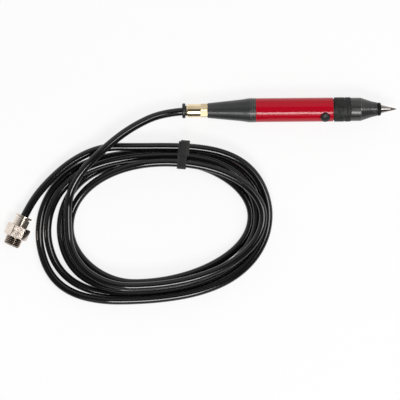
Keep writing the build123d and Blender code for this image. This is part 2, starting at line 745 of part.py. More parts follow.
def make_hose_tie():
    """Strap around the strands that pass the tie, square to the middle one."""
    places = []
    ways = []
    for edge in coil_edges:
        steps = [edge @ (part / 400) for part in range(401)]
        nearest = min(range(401), key=lambda part: abs(steps[part].X - TIE_X))
        on_top = steps[nearest].Y > COIL_TOP[0][1] - 5 * HOSE_DIAMETER
        if on_top and abs(steps[nearest].X - TIE_X) < 0.5:
            places.append(steps[nearest])
            ways.append(edge % (nearest / 400))
    middle = sum(places, Vector()) * (1 / len(places))
    way = Vector(sum(item.X for item in ways), sum(item.Y for item in ways), 0).normalized()
    plane = Plane(origin=(middle.X, middle.Y, 0), x_dir=Vector(0, 0, 1).cross(way), z_dir=way)
    spots = [plane.to_local_coords(place) for place in places]
    layers = []
    for layer in range(3):
        radius = hose_radius + TIE_CLEARANCE + layer * TIE_THICKNESS
        rounds = [Pos(spot.X, spot.Y) * Circle(radius) for spot in spots]
        layers.append(make_hull(Sketch(children=rounds).edges()))
    strap = extrude(plane * (layers[1] - layers[0]), TIE_WIDTH / 2, both=True)
    upper = Pos(-4 * HOSE_DIAMETER, 4 * HOSE_DIAMETER) * Rectangle(8 * HOSE_DIAMETER, 6 * HOSE_DIAMETER)
    free_end = extrude(plane * ((layers[2] - layers[1]) & upper), TIE_WIDTH / 2, both=True)
    return strap + Pos(*(way * -TIE_SHIFT)) * free_end


def make_connector_collar():
    disc = barrel(0, a_barrel, DISC_DIAMETER / 2, 0.2)
    return at_connector(disc - rod(-1, a_barrel + 1, hose_radius + 3 * RUN))


def make_connector_barrel():
    shell = barrel(a_barrel + BARREL_NECK_LENGTH, a_hex, BARREL_DIAMETER / 2, 0.4)
    shell += rod(a_barrel, a_barrel + BARREL_NECK_LENGTH + 0.5, BARREL_NECK_DIAMETER / 2)
    shell -= rod(a_barrel - 1, a_hex, hose_radius + 3 * RUN)
    return at_connector(shell - rod(a_barrel + BARREL_LIP, a_hex + 1, spigot_radius + FIT))


def make_connector_body():
    radius = THREAD_DIAMETER / 2
    body = hexagon(a_hex, a_thread, BODY_HEX_FLATS, CONNECTOR_CLOCKING)
    body += rod(a_spigot, a_hex + 1, spigot_radius)
    body += turned(
        (a_thread - 1, 0), (a_thread - 1, radius - 0.8), (a_thread + 0.4, radius - 0.8),
        (a_thread + 0.8, radius), (a_end - 0.8, radius), (a_end, radius - 0.8), (a_end, 0),
    )
    for turn in range(int((THREAD_LENGTH - 1.6) / THREAD_PITCH)):
        a = a_thread + 0.8 + THREAD_PITCH * (turn + 0.6)
        body -= turned((a - 0.45, radius + 0.01), (a, radius - THREAD_DEPTH), (a + 0.45, radius + 0.01))
    body -= rod(a_spigot - 1, a_socket, hose_radius + RUN)
    return at_connector(body - rod(a_spigot, a_end + 1, HOSE_BORE / 2))


def make_connector_insert():
    outer = HOSE_BORE / 2 - RUN
    return at_connector(tube(a_barrel, a_hose_end, outer - INSERT_WALL, outer))


# Pieces of the pen are made about the X axis, so they are raised to the pen's height
pen_pieces = {
    "release_ring": make_release_ring(),
    "inlet_fitting": make_inlet_fitting(),
    "grip_collet": make_grip_collet(),
    "tube_seal": make_tube_seal(),
    "rear_cap": make_rear_cap(),
    "air_filter": make_air_filter(),
    "filter_clip": make_filter_clip(),
    "cap_seal": seal(x_tail_seal, tail_radius),
    "body_sleeve": make_body_sleeve(),
    "body_core": make_body_core(),
    "button_cap": make_button_cap(),
    "valve_spool": make_valve_spool(),
    "spool_seal_upper": make_spool_seal(upper_seal_height),
    "spool_seal_lower": make_spool_seal(lower_seal_height),
    "button_spring": make_button_spring(),
    "cylinder_plug": make_cylinder_plug(),
    "hammer_cylinder": make_hammer_cylinder(),
    "hammer": make_hammer(),
    "thrust_washer": make_thrust_washer(),
    "regulator_ring": make_regulator_ring(),
    "regulator_seal": seal(x_regulator_seal, neck_radius),
    "stop_pin": make_stop_pin(),
    "nose_cone": make_nose_cone(),
    "nose_seal": seal(x_nose_seal, neck_radius),
    "guide_bush": make_guide_bush(),
    "nose_ring": make_nose_ring(),
    "stylus_shank": make_stylus_shank(),
    "stylus_tip": make_stylus_tip(),
    "stylus_spring": make_stylus_spring(),
}
hose_pieces = {
    "hose_lead": hose_run("hose_lead", lead_route),
    "hose_coil": make_hose_coil(),
    "hose_tail": hose_run("hose_tail", tail_route),
    "hose_tie": make_hose_tie(),
    "connector_collar": make_connector_collar(),
    "connector_barrel": make_connector_barrel(),
    "connector_body": make_connector_body(),
    "connector_insert": make_connector_insert(),
}

os.makedirs("parts", exist_ok=True)
for name, piece in pen_pieces.items():
    export_step(Pos(0, 0, axis_height) * piece, f"parts/{name}.step")
for name, piece in hose_pieces.items():
    export_step(piece, f"parts/{name}.step")
print(len(pen_pieces) + len(hose_pieces), "pieces, pen length", round(pen_length, 2))
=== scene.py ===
# %% [markdown]
# # An air driven engraving pen with its coiled hose
# The pen lies on a white table with its point to the right. Its hose leaves a brass
# fitting, goes round in five loops under a strap and ends in a pipe connector.
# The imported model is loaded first, because every piece below is made to sit on it.

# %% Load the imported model
from math import cos, pi, radians, sin, tan

import bmesh
import bpy
from mathutils import Matrix, Vector
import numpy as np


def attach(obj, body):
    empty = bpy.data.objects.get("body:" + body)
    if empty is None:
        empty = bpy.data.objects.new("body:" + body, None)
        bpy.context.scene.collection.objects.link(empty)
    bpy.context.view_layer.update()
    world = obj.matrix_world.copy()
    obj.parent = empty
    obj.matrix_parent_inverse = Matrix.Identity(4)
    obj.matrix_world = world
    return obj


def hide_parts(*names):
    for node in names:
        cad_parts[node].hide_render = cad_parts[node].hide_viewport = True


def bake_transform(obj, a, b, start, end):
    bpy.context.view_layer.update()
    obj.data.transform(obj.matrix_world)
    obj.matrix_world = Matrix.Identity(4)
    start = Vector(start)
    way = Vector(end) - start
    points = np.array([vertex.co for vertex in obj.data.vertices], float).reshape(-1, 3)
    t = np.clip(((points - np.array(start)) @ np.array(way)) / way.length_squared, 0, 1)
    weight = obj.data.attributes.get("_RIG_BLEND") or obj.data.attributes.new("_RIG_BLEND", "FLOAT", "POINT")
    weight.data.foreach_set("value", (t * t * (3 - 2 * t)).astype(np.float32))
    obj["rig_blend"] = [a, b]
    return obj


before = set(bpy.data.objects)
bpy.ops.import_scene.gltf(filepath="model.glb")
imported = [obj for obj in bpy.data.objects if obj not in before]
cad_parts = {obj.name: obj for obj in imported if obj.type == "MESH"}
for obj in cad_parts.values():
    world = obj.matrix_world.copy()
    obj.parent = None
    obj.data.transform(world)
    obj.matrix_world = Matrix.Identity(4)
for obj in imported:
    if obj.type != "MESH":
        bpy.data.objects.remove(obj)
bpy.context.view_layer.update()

MM = 0.001


# %% [markdown]
# ## Camera
# The photograph looks straight down from far away, so the hose and the pen show almost
# no perspective. A long lens high above the table gives the same view. The frame is
# 300 mm wide at the height of the pen's axis.

# %% Camera above the table
AXIS_HEIGHT = 9.25
FRAME_WIDTH = 300.0
CAMERA_RISE = 1500.0
SENSOR = 36.0
CAMERA_PLACE = (-67.55, -67.0)
CAMERA_TURN = -0.00856  # radians

camera_data = bpy.data.cameras.new("camera")
camera_data.sensor_width = SENSOR
camera_data.lens = SENSOR * CAMERA_RISE / FRAME_WIDTH
camera = bpy.data.objects.new("camera", camera_data)
camera.location = Vector((*CAMERA_PLACE, AXIS_HEIGHT + CAMERA_RISE)) * MM
camera.rotation_euler = (0, 0, CAMERA_TURN)
bpy.context.scene.collection.objects.link(camera)
bpy.context.scene.camera = camera
bpy.context.scene.view_settings.view_transform = "Standard"
print("lens", round(camera_data.lens), "mm")

# %% [markdown]
# ## The hose
# A real air hose of this kind is a plastic tube that is pushed out of a die and wound
# up for the shop. It is one smooth line from end to end, so one NURBS spline with a
# round bevel makes it. Its control points are the corners of the route, and in the
# coil a few points on each quarter turn between the four sides of each loop.

# %% Route of the hose
HOSE_DIAMETER = 6.0
LEAD = (
    (-65.775, 0, 9.25), (-92, 0, 9.25), (-118.5, -12, 15.5), (-141, -29.8, 19),
    (-158, -47, 17), (-166.7, -64.925, 11.5),
)
TAIL = (
    (-114.388, -26.875, 11.6), (-140, -26.4, 10.6), (-162.5, -36, 10.4), (-182, -52.6, 9.2),
    (-195.92, -70.081, 8.681), (-203.413, -86.447, 8.681),
)
# Middle of the bundle, way out of the coil, way of the hose, lean, then the lane and
# the height of the hose's centre for loops 1 to 5
COIL_SIDES = (
    ((-177.2, -87.8), (-1, 0), (0, -1), -0.15,
     (-10.5, -11.0, -4.0, 5.7, 12.0), (11.5, 3, 3, 5.4, 3)),
    ((-122.1, -135.9), (0, -1), (1, 0), -0.84,
     (-4.4, -6.4, -2.1, 2.1, 6.4), (17, 3, 8.6, 3, 8.6)),
    ((-21.9, -80.1), (1, 0), (0, 1), 0.0,
     (2.1, -6.4, -2.1, 2.1, 6.4), (18, 3, 8.6, 3, 8.6)),
    ((-91.2, -31.9), (0, 1), (-1, 0), 0.5,
     (-6.7, -5.025, -1.675, 1.675, 5.025), (20.8, 4.8, 12.7, 4.8, 11.6)),
)
COIL_LOOPS = 5
# In the corners each loop is pushed out, or in where the number is negative. The upper
# left corners, where a loop runs into the next, have pushes of their own.
CORNER_PUSH = (0.5, -0.8, 2.2, 2.6, 4.2)
UPPER_LEFT_PUSH = (0.4, 4.6, 4.0, 5.6)
COIL_START_DROP = 4.0
POINTS_PER_QUARTER = 6


def coil_station(side, loop):
    """Place of the hose on one side of one loop, and whether it runs along X there."""
    middle, out, way, lean, lanes, heights = side
    lane = lanes[loop]
    x = middle[0] + out[0] * lane + abs(way[0]) * lean * lane
    y = middle[1] + out[1] * lane + abs(way[1]) * lean * lane
    return Vector((x, y, heights[loop])), way[0] != 0


def quarter_turn(start, end, along_x, push):
    """Control points from one side of the coil to the next, without the last."""
    step = end - start
    out = Vector((step.y, -step.x)).normalized() * push
    points = []
    for part in range(POINTS_PER_QUARTER):
        angle = part / POINTS_PER_QUARTER * pi / 2
        early, late = sin(angle), 1 - cos(angle)
        swell = sin(2 * angle) ** 2
        x = start.x + step.x * (early if along_x else late) + out.x * swell
        y = start.y + step.y * (late if along_x else early) + out.y * swell
        points.append((x, y, start.z + step.z * (0.5 - 0.5 * cos(2 * angle))))
    return points


stations = [coil_station(side, loop) for loop in range(COIL_LOOPS) for side in COIL_SIDES]
stations[0][0].y -= COIL_START_DROP
coil = []
for number, ((start, along_x), (end, _)) in enumerate(zip(stations, stations[1:]), 1):
    loop, corner_number = divmod(number, len(COIL_SIDES))
    push = CORNER_PUSH[loop] if corner_number else UPPER_LEFT_PUSH[loop - 1]
    coil += quarter_turn(start, end, along_x, push)
coil.append(tuple(stations[-1][0]))
route = [*LEAD, *coil, *TAIL]
print(len(route), "control points,", len(coil), "of them in the coil")

# %% Hose as one spline
STEPS_ALONG, STEPS_ROUND = 8, 6


def lay_spline(name, points, radius):
    """Curve object with one smooth open spline along a route.

    Its points carry the radius of the tube, and with no radius it is a bare line.
    """
    curve = bpy.data.curves.new(name, "CURVE")
    curve.dimensions = "3D"
    curve.resolution_u = STEPS_ALONG
    curve.bevel_depth = 1.0 if radius > 0 else 0.0
    curve.bevel_resolution = STEPS_ROUND
    curve.use_fill_caps = radius > 0
    spline = curve.splines.new("NURBS")
    spline.points.add(len(points) - 1)
    for control, point in zip(spline.points, points):
        control.co = (*(Vector(point) * MM), 1)
        control.radius = radius * MM
    spline.order_u = 3
    spline.use_endpoint_u = True
    piece = bpy.data.objects.new(name, curve)
    bpy.context.scene.collection.objects.link(piece)
    return piece


hose = lay_spline("hose", route, HOSE_DIAMETER / 2)
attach(hose, "pen_body")
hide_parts("hose_lead", "hose_coil", "hose_tail")
print("hose of", HOSE_DIAMETER, "mm")

# %% [markdown]
# ## Table and light
# The photograph was lit by a soft lamp on the near side, which the red grip shows as a
# thin strip, and more weakly by a window beyond the point. Two area lamps stand for them.
# The world is a room that is pale on the far side and at both ends, has a bright band
# low on the near side, and is dark overhead, where the camera hangs. Bright metal shows
# that dark part as a brown line. Part of the table's white is its own, so that the
# shadow stays soft and the sheet looks as white as in the photograph.

# %% Table
TABLE_SIZE = 12.0  # m
TABLE_COLOUR = 0.96
TABLE_GLOW = 0.8


def add_node(tree, kind, inputs=None, **settings):
    """Node with its settings, and inputs given as numbers or as sockets to link."""
    made = tree.nodes.new(kind)
    for key, value in settings.items():
        setattr(made, key, value)
    for key, value in (inputs or {}).items():
        if isinstance(value, bpy.types.NodeSocket):
            tree.links.new(value, made.inputs[key])
        else:
            made.inputs[key].default_value = value
    return made


def calculate(tree, operation, first, second=0.0):
    """Result of a math node."""
    return add_node(tree, "ShaderNodeMath", {0: first, 1: second}, operation=operation).outputs[0]


def object_from(bm, name):
    """Object at the origin that holds a finished bmesh."""
    mesh = bpy.data.meshes.new(name)
    bm.to_mesh(mesh)
    bm.free()
    piece = bpy.data.objects.new(name, mesh)
    bpy.context.scene.collection.objects.link(piece)
    return piece


table_bm = bmesh.new()
bmesh.ops.create_grid(table_bm, x_segments=1, y_segments=1, size=TABLE_SIZE / 2)
table = object_from(table_bm, "table")
paper = bpy.data.materials.new("white_table")
paper.use_nodes = True
tree = paper.node_tree
tree.nodes.clear()
matt = add_node(tree, "ShaderNodeBsdfDiffuse", {"Color": (TABLE_COLOUR, TABLE_COLOUR, TABLE_COLOUR, 1)})
glow = add_node(tree, "ShaderNodeEmission", {"Strength": 1.0})
ray = add_node(tree, "ShaderNodeLightPath").outputs
seen = calculate(tree, "MAXIMUM", ray["Is Camera Ray"], ray["Is Glossy Ray"])
seen = calculate(tree, "MAXIMUM", seen, ray["Is Transmission Ray"])
own_share = calculate(tree, "MULTIPLY", seen, TABLE_GLOW)
sheet = add_node(tree, "ShaderNodeMixShader", {0: own_share, 1: matt.outputs[0], 2: glow.outputs[0]})
add_node(tree, "ShaderNodeOutputMaterial", {"Surface": sheet.outputs[0]})
table.data.materials.append(paper)
print("table", TABLE_SIZE, "m square")

# %% Strip lamp and window
# Angles from straight up in degrees, sizes and places in metres
STRIP_ANGLE = 33.5
STRIP_SIZE = (0.65, 0.72)
STRIP_RADIANCE = 14.0
WINDOW_ANGLE = 27
WINDOW_NEAR = 3
WINDOW_SIZE = (1.2, 0.7)
WINDOW_RADIANCE = 6.0
LAMP_DISTANCE = 2.2
LAMP_TARGET = Vector((-0.07, -0.04, 0))


def hang_lamp(name, lean, size, radiance):
    """Rectangular lamp that shines at the table from a leaning direction."""
    lamp = bpy.data.lights.new(name, "AREA")
    lamp.shape = "RECTANGLE"
    lamp.size, lamp.size_y = size
    lamp.energy = radiance * pi * size[0] * size[1]
    holder = bpy.data.objects.new(name, lamp)
    away = Matrix.Translation((0, 0, LAMP_DISTANCE))
    holder.matrix_world = Matrix.Translation(LAMP_TARGET) @ lean @ away
    bpy.context.scene.collection.objects.link(holder)
    print(name, round(lamp.energy, 1), "W")


to_strip = Matrix.Rotation(radians(STRIP_ANGLE), 4, "X")
hang_lamp("strip", to_strip, STRIP_SIZE, STRIP_RADIANCE)
to_window = Matrix.Rotation(radians(WINDOW_NEAR), 4, "X") @ Matrix.Rotation(radians(WINDOW_ANGLE), 4, "Y")
hang_lamp("window", to_window, WINDOW_SIZE, WINDOW_RADIANCE)

# %% Room with the dark camera overhead
# Angle from straight up in degrees, near side negative, and how bright the room is there
ROOM_MIDDLE = (
    (-90, 0.1), (-64, 0.1), (-59, 1.5), (-46, 1.5), (-42, 0.2), (-3, 0.12), (22, 0.12),
    (34, 0.85), (90, 0.85),
)
ROOM_ENDS = ((-90, 0.1), (-20, 0.1), (-5, 0.4), (20, 0.5), (50, 0.9), (90, 0.9))
ENDS_START, ENDS_FULL = 0.3, 0.45


def spread(tree, value, low, high, to_low=0.0, to_high=1.0):
    """Value taken from one range to another, held at the ends."""
    values = {"Value": value, "From Min": low, "From Max": high, "To Min": to_low, "To Max": to_high}
    return add_node(tree, "ShaderNodeMapRange", values).outputs[0]


def room_level(tree, around, levels):
    """Brightness round the room, from pairs of an angle and a level."""
    ramp = add_node(tree, "ShaderNodeValToRGB", {"Fac": around})
    stops = ramp.color_ramp.elements
    while len(stops) < len(levels):
        stops.new(0.5)
    for stop, (angle, level) in zip(stops, levels):
        stop.position = angle / 180 + 0.5
        stop.color = (level, level, level, 1)
    return ramp.outputs["Color"]


room = bpy.data.worlds.new("room")
room.use_nodes = True
bpy.context.scene.world = room
tree = room.node_tree
tree.nodes.clear()
direction = add_node(tree, "ShaderNodeTexCoord").outputs["Generated"]
direction = add_node(tree, "ShaderNodeSeparateXYZ", {"Vector": direction}).outputs
around = spread(tree, calculate(tree, "ARCTAN2", direction["Y"], direction["Z"]), -pi / 2, pi / 2)
to_ends = spread(tree, calculate(tree, "ABSOLUTE", direction["X"]), ENDS_START, ENDS_FULL)
both = {0: to_ends, 2: room_level(tree, around, ROOM_MIDDLE), 3: room_level(tree, around, ROOM_ENDS)}
level = add_node(tree, "ShaderNodeMix", both, data_type="FLOAT").outputs[0]
lit = add_node(tree, "ShaderNodeBackground", {"Strength": level}).outputs[0]
add_node(tree, "ShaderNodeOutputWorld", {"Surface": lit})
print(len(ROOM_MIDDLE), "levels round the room,", len(ROOM_ENDS), "at its ends")

# %% [markdown]
# ## Turned pieces
# Most of the pen comes off a lathe. Blender's spin does the same: it turns an outline
# about the pen's axis. An outline is a list of corners in mm, each with its place along
# the axis, its radius and its rounding. The corners are rounded with a bevel after the
# spin, as a turner breaks every edge, and the new faces are marked as rubbed, because
# handling polishes them first. Weighted normals keep the shading of large faces even.

# %% Lathe helpers
ROUND_STEPS = 128
ROUND_SEGMENTS = 3
MERGE = 0.0002
ON_RING = 0.002


def on_ring(vert, x, radius):
    """Whether a vertex lies on the circle at x with this radius, in mm."""
    from_axis = Vector((vert.co.y, vert.co.z)).length
    return abs(vert.co.x - x * MM) < ON_RING * MM and abs(from_axis - radius * MM) < ON_RING * MM


def round_edges(bm, edges, rounding, segments):
    """Rounds edges and marks the new faces as the ones that handling rubs."""
    rubbed = bm.faces.layers.float["rubbed"]
    made = bmesh.ops.bevel(
        bm, geom=edges, offset=rounding * MM, offset_type="OFFSET", segments=segments, profile=0.5,
        affect="EDGES", clamp_overlap=True, material=-1,
    )
    for face in made["faces"]:
        face[rubbed] = 1.0


def spin_round(bm, turns, steps, along=0.0):
    """Spins a bmesh about the X axis, and moves it along by this many metres at each step."""
    bmesh.ops.spin(
        bm, geom=bm.verts[:] + bm.edges[:], cent=(0, 0, 0), axis=(1, 0, 0), angle=2 * pi * turns,
        dvec=(along, 0, 0), steps=steps, use_merge=along == 0,
    )


def turn_on_lathe(outline, steps=ROUND_STEPS):
    """Bmesh turned about the X axis from corners given in mm as (x, radius, rounding)."""
    bm = bmesh.new()
    corners = [bm.verts.new((x * MM, 0, radius * MM)) for x, radius, _ in outline]
    pairs = list(zip(corners, corners[1:]))
    if outline[0][1] > 0:
        pairs.append((corners[-1], corners[0]))
    for pair in pairs:
        bm.edges.new(pair)
    spin_round(bm, 1, steps)
    bmesh.ops.remove_doubles(bm, verts=bm.verts[:], dist=MERGE * MM)
    bmesh.ops.recalc_face_normals(bm, faces=bm.faces[:])
    bm.faces.layers.float.new("rubbed")
    for x, radius, rounding in outline:
        if rounding > 0:
            ring = [edge for edge in bm.edges if all(on_ring(vert, x, radius) for vert in edge.verts)]
            round_edges(bm, ring, rounding, ROUND_SEGMENTS)
    return bm


# %% Helper that finishes a piece
ON_AXIS = Matrix.Translation((0, 0, AXIS_HEIGHT * MM))
SHARP_ANGLE = 35


def finish_piece(bm, name, body, node, place=ON_AXIS, sharp=SHARP_ANGLE):
    """Puts a piece in its place, shades it, and hides the CAD node that it replaces.

    A piece that will be blended across a joint gets no body here.
    """
    bmesh.ops.transform(bm, matrix=place, verts=bm.verts[:])
    for face in bm.faces:
        face.smooth = True
    piece = object_from(bm, name)
    piece.data.set_sharp_from_angle(angle=radians(sharp))
    weighted = piece.modifiers.new("even_shading", "WEIGHTED_NORMAL")
    weighted.keep_sharp = True
    if body:
        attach(piece, body)
    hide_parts(node)
    return piece


# %% [markdown]
# ## Rear cap
# The rear cap is a dark anodised taper that carries the fitting. Three fine lines are
# cut into its wide end, where it meets the grip. The inside has the thread, the filter
# chamber and the socket for the inner body, so it is turned hollow. The lines could be
# painted on, but cut as real grooves they also catch the light from the side.

# %% Turn the rear cap
CAP_START, CAP_END = -61.275, -25.175
CAP_RADIUS = 9.1
CAP_LAND = 4.6
CORE_SOCKET = 6.53
FILTER_BORE = 4.33
AIR_BORE = 2.0
LINE_INSET = 1.0
LINE_PITCH = 1.4
LINE_HALF = 0.22
LINE_DEPTH = 0.15
LINE_ROUNDING = 0.04
LINE_MARGIN, LINE_REACH = 0.05, 0.6


def ring_line(x, radius):
    """Outline corners of a fine square groove."""
    start, end, root = x - LINE_HALF, x + LINE_HALF, radius - LINE_DEPTH
    return [(start, radius, LINE_ROUNDING), (start, root, 0), (end, root, 0), (end, radius, LINE_ROUNDING)]


land = CAP_END - CAP_LAND
line_places = [CAP_END - LINE_INSET - line * LINE_PITCH for line in (2, 1, 0)]
cap_outline = [
    (CAP_START, 4.03, 0), (CAP_START, 5.65, 0.35), (CAP_START + 2, 5.8, 0), (land - 6, 8.2, 0),
    (land - 2.7, 8.74, 0), (land - 0.9, 8.98, 0), (land + 0.5, 9.08, 0), (land + 1.2, CAP_RADIUS, 0),
]
for x in line_places:
    cap_outline += ring_line(x, CAP_RADIUS)
cap_outline += [
    (CAP_END, CAP_RADIUS, 0.18), (CAP_END, CORE_SOCKET, 0), (-34.275, CORE_SOCKET, 0),
    (-34.275, FILTER_BORE, 0), (-35.775, FILTER_BORE, 0), (-35.775, 4.9, 0), (-36.775, 4.9, 0),
    (-36.775, FILTER_BORE, 0), (-44.875, FILTER_BORE, 0), (-44.875, AIR_BORE, 0),
    (-54.675, AIR_BORE, 0), (-54.675, 4.03, 0),
]
cap_bm = turn_on_lathe(cap_outline)
rubbed = cap_bm.faces.layers.float["rubbed"]
# The lines are cut through the dark layer, so their faces show bare metal like rubbed ones
for face in cap_bm.faces:
    centre = face.calc_center_median() / MM
    from_line = min(abs(centre.x - x) for x in line_places)
    if from_line < LINE_HALF + LINE_MARGIN and centre.yz.length > CAP_RADIUS - LINE_REACH:
        face[rubbed] = 1.0
rear_cap = finish_piece(cap_bm, "cap_taper", "pen_body", "rear_cap")

# %% [markdown]
# ## Grip sleeve
# The grip is a length of drawn tube, lacquered red, with its front edge rolled over
# and a round hole for the push button. The tube is turned first and the hole is cut
# with a boolean, as the maker drills it. The rim of the hole is then rounded.

# %% Turn the sleeve and drill it
SLEEVE_START, SLEEVE_END = CAP_END, 32.725
SLEEVE_RADIUS = 9.0
SLEEVE_BORE = 8.25
BUTTON_X = 26.525
BUTTON_LEAN = radians(40)
BUTTON_HOLE = 3.7
BUTTON_STEPS = 64
DRILL_LENGTH = 10
NEAR_RIM, NEAR_WALL = 0.01, 0.05
to_button = Matrix.Translation((BUTTON_X * MM, 0, 0)) @ Matrix.Rotation(BUTTON_LEAN, 4, "X")


def combine(first, second, operation):
    """New bmesh from two closed ones, joined or cut by a boolean."""
    blank = object_from(first, "work_first")
    tool = object_from(second, "work_second")
    cut = blank.modifiers.new("cut", "BOOLEAN")
    cut.object = tool
    cut.operation = operation
    cut.solver = "EXACT"
    ready = blank.evaluated_get(bpy.context.evaluated_depsgraph_get())
    mesh = bpy.data.meshes.new_from_object(ready)
    result = bmesh.new()
    result.from_mesh(mesh)
    for spare in (blank.data, tool.data, mesh):
        bpy.data.meshes.remove(spare)
    bmesh.ops.remove_doubles(result, verts=result.verts[:], dist=MERGE * MM)
    if "rubbed" not in result.faces.layers.float:
        result.faces.layers.float.new("rubbed")
    return result


sleeve_bm = turn_on_lathe([
    (SLEEVE_START, SLEEVE_BORE, 0), (SLEEVE_START, SLEEVE_RADIUS, 0.12), (SLEEVE_END, SLEEVE_RADIUS, 0.5),
    (SLEEVE_END, 6.68, 0), (31.825, 6.68, 0), (31.825, SLEEVE_BORE, 0),
])
drill = bmesh.new()
bmesh.ops.create_cone(
    drill, cap_ends=True, segments=BUTTON_STEPS, radius1=BUTTON_HOLE * MM, radius2=BUTTON_HOLE * MM,
    depth=DRILL_LENGTH * MM, matrix=to_button @ Matrix.Translation((0, 0, SLEEVE_RADIUS * MM)),
)
sleeve_bm = combine(sleeve_bm, drill, "DIFFERENCE")
button_way = to_button.to_3x3() @ Vector((0, 0, 1))


def on_hole_rim(edge):
    """Whether an edge is part of the outer rim of the button's hole."""
    for vert in edge.verts:
        offset = vert.co - to_button.translation
        from_way = (offset - button_way * offset.dot(button_way)).length
        outside = Vector((vert.co.y, vert.co.z)).length > (SLEEVE_RADIUS - NEAR_WALL) * MM
        if abs(from_way - BUTTON_HOLE * MM) > NEAR_RIM * MM or not outside:
            return False
    return True


round_edges(sleeve_bm, [edge for edge in sleeve_bm.edges if on_hole_rim(edge)], 0.15, 2)
sleeve = finish_piece(sleeve_bm, "grip_sleeve", "pen_body", "body_sleeve")

# %% [markdown]
# ## Push button
# The button is a small moulded cap with a domed top and a flange that keeps it in the
# sleeve. A sphere would give too round a dome, so the flat dome is part of the outline.
# The button is turned about its own axis and then leaned over with the valve.

# %% Turn the button
FLANGE_BOTTOM, FLANGE_TOP, BUTTON_TOP = 6.2608, 7.0608, 11.4
FLANGE_RADIUS = 4.1
BUTTON_RADIUS = 3.6
STEM_SOCKET = 1.53
button_bm = turn_on_lathe([
    (FLANGE_BOTTOM + 1.9, 0, 0), (FLANGE_BOTTOM + 1.9, STEM_SOCKET, 0), (FLANGE_BOTTOM, STEM_SOCKET, 0),
    (FLANGE_BOTTOM, FLANGE_RADIUS, 0.1), (FLANGE_TOP, FLANGE_RADIUS, 0.1), (FLANGE_TOP, BUTTON_RADIUS, 0),
    (BUTTON_TOP - 0.75, BUTTON_RADIUS, 0.3), (BUTTON_TOP - 0.75, 3.15, 0.05), (BUTTON_TOP - 0.6, 3.0, 0),
    (BUTTON_TOP - 0.3, 2.45, 0), (BUTTON_TOP - 0.1, 1.6, 0), (BUTTON_TOP - 0.02, 0.7, 0),
    (BUTTON_TOP, 0, 0),
], BUTTON_STEPS)
at_button = ON_AXIS @ to_button @ Matrix.Rotation(-pi / 2, 4, "Y")
button = finish_piece(button_bm, "button_dome", "button", "button_cap", at_button)

# %% [markdown]
# ## Inlet fitting
# The fitting is a push-in type, turned from hexagon brass bar and left bright. A spin
# of six steps could make the bar, but then the round parts would have six sides too, so
# the turned part and the hexagon are made apart and joined with a boolean. The corners of
# the hexagon are turned down at both ends, which leaves the curved edges that such nuts show.

# %% Turn the fitting
NECK_START, FITTING_START, HEX_START, HEX_END = -77.075, -75.975, -66.675, -61.275
FITTING_END = -54.775
FITTING_HEX_FLATS = 10.0
FITTING_CLOCKING = 26.0
HOSE_SOCKET = 3.05
# The turned cone starts inside the flats and ends outside the corners, because a cone that
# only touches them leaves slivers
CONE_INSIDE, CONE_OUTSIDE = 0.06, 0.01


def hexagon_bar(start, end, flats, clocking, rounding):
    """Bmesh of a hexagon bar along X with rounded long edges and turned corners.

    A flat lies down at clocking 0.
    """
    corner = flats / 2 / cos(pi / 6)
    cone = (corner - flats / 2) * tan(pi / 6)
    stand = Matrix.Translation((start * MM, 0, 0)) @ Matrix.Rotation(radians(clocking), 4, "X")
    bar = bmesh.new()
    bar.faces.layers.float.new("rubbed")
    bmesh.ops.create_circle(
        bar, cap_ends=True, segments=6, radius=corner * MM, matrix=stand @ Matrix.Rotation(pi / 2, 4, "Y")
    )
    grown = bmesh.ops.extrude_face_region(bar, geom=bar.faces[:])
    far_end = [item for item in grown["geom"] if isinstance(item, bmesh.types.BMVert)]
    bmesh.ops.translate(bar, vec=((end - start) * MM, 0, 0), verts=far_end)
    bmesh.ops.recalc_face_normals(bar, faces=bar.faces[:])
    long_edges = [edge for edge in bar.edges if abs(edge.verts[0].co.x - edge.verts[1].co.x) > MM]
    round_edges(bar, long_edges, rounding, ROUND_SEGMENTS)
    blank = turn_on_lathe([
        (start, 0, 0), (start, flats / 2 - CONE_INSIDE, 0), (start + cone, corner + CONE_OUTSIDE, 0),
        (end - cone, corner + CONE_OUTSIDE, 0), (end, flats / 2 - CONE_INSIDE, 0), (end, 0, 0),
    ])
    return combine(bar, blank, "INTERSECT")


def break_sharp_edges(bm, rounding, angle=24):
    """Rounds every edge that is sharper than the angle in degrees."""
    sharp = [edge for edge in bm.edges if edge.is_manifold and edge.calc_face_angle() > radians(angle)]
    round_edges(bm, sharp, rounding, 2)


fitting_bm = combine(
    hexagon_bar(HEX_START, HEX_END, FITTING_HEX_FLATS, FITTING_CLOCKING, 0.4),
    turn_on_lathe([
        (NECK_START, 0, 0), (NECK_START, 4.4, 0), (FITTING_START, 4.4, 0), (FITTING_START, 4.9, 0),
        (HEX_START + 0.6, 4.9, 0), (HEX_START + 0.6, 4.0, 0), (FITTING_END, 4.0, 0), (FITTING_END, 0, 0),
    ]),
    "UNION",
)
fitting_bm = combine(
    fitting_bm,
    turn_on_lathe([
        (NECK_START - 1, 0, 0), (NECK_START - 1, 3.8, 0), (-69.275, 3.8, 0), (-69.275, HOSE_SOCKET, 0),
        (-65.675, HOSE_SOCKET, 0), (-65.675, AIR_BORE, 0), (-53.5, AIR_BORE, 0), (-53.5, 0, 0),
    ]),
    "DIFFERENCE",
)
break_sharp_edges(fitting_bm, 0.14)
fitting = finish_piece(fitting_bm, "brass_fitting", "pen_body", "inlet_fitting")

# %% [markdown]
# ## Release ring
# Pressing this moulded ring against the fitting opens the teeth inside and frees the
# hose. It is a flange on a short neck, with a bell mouth for the hose. All of it is
# round, so one outline on the lathe makes it.

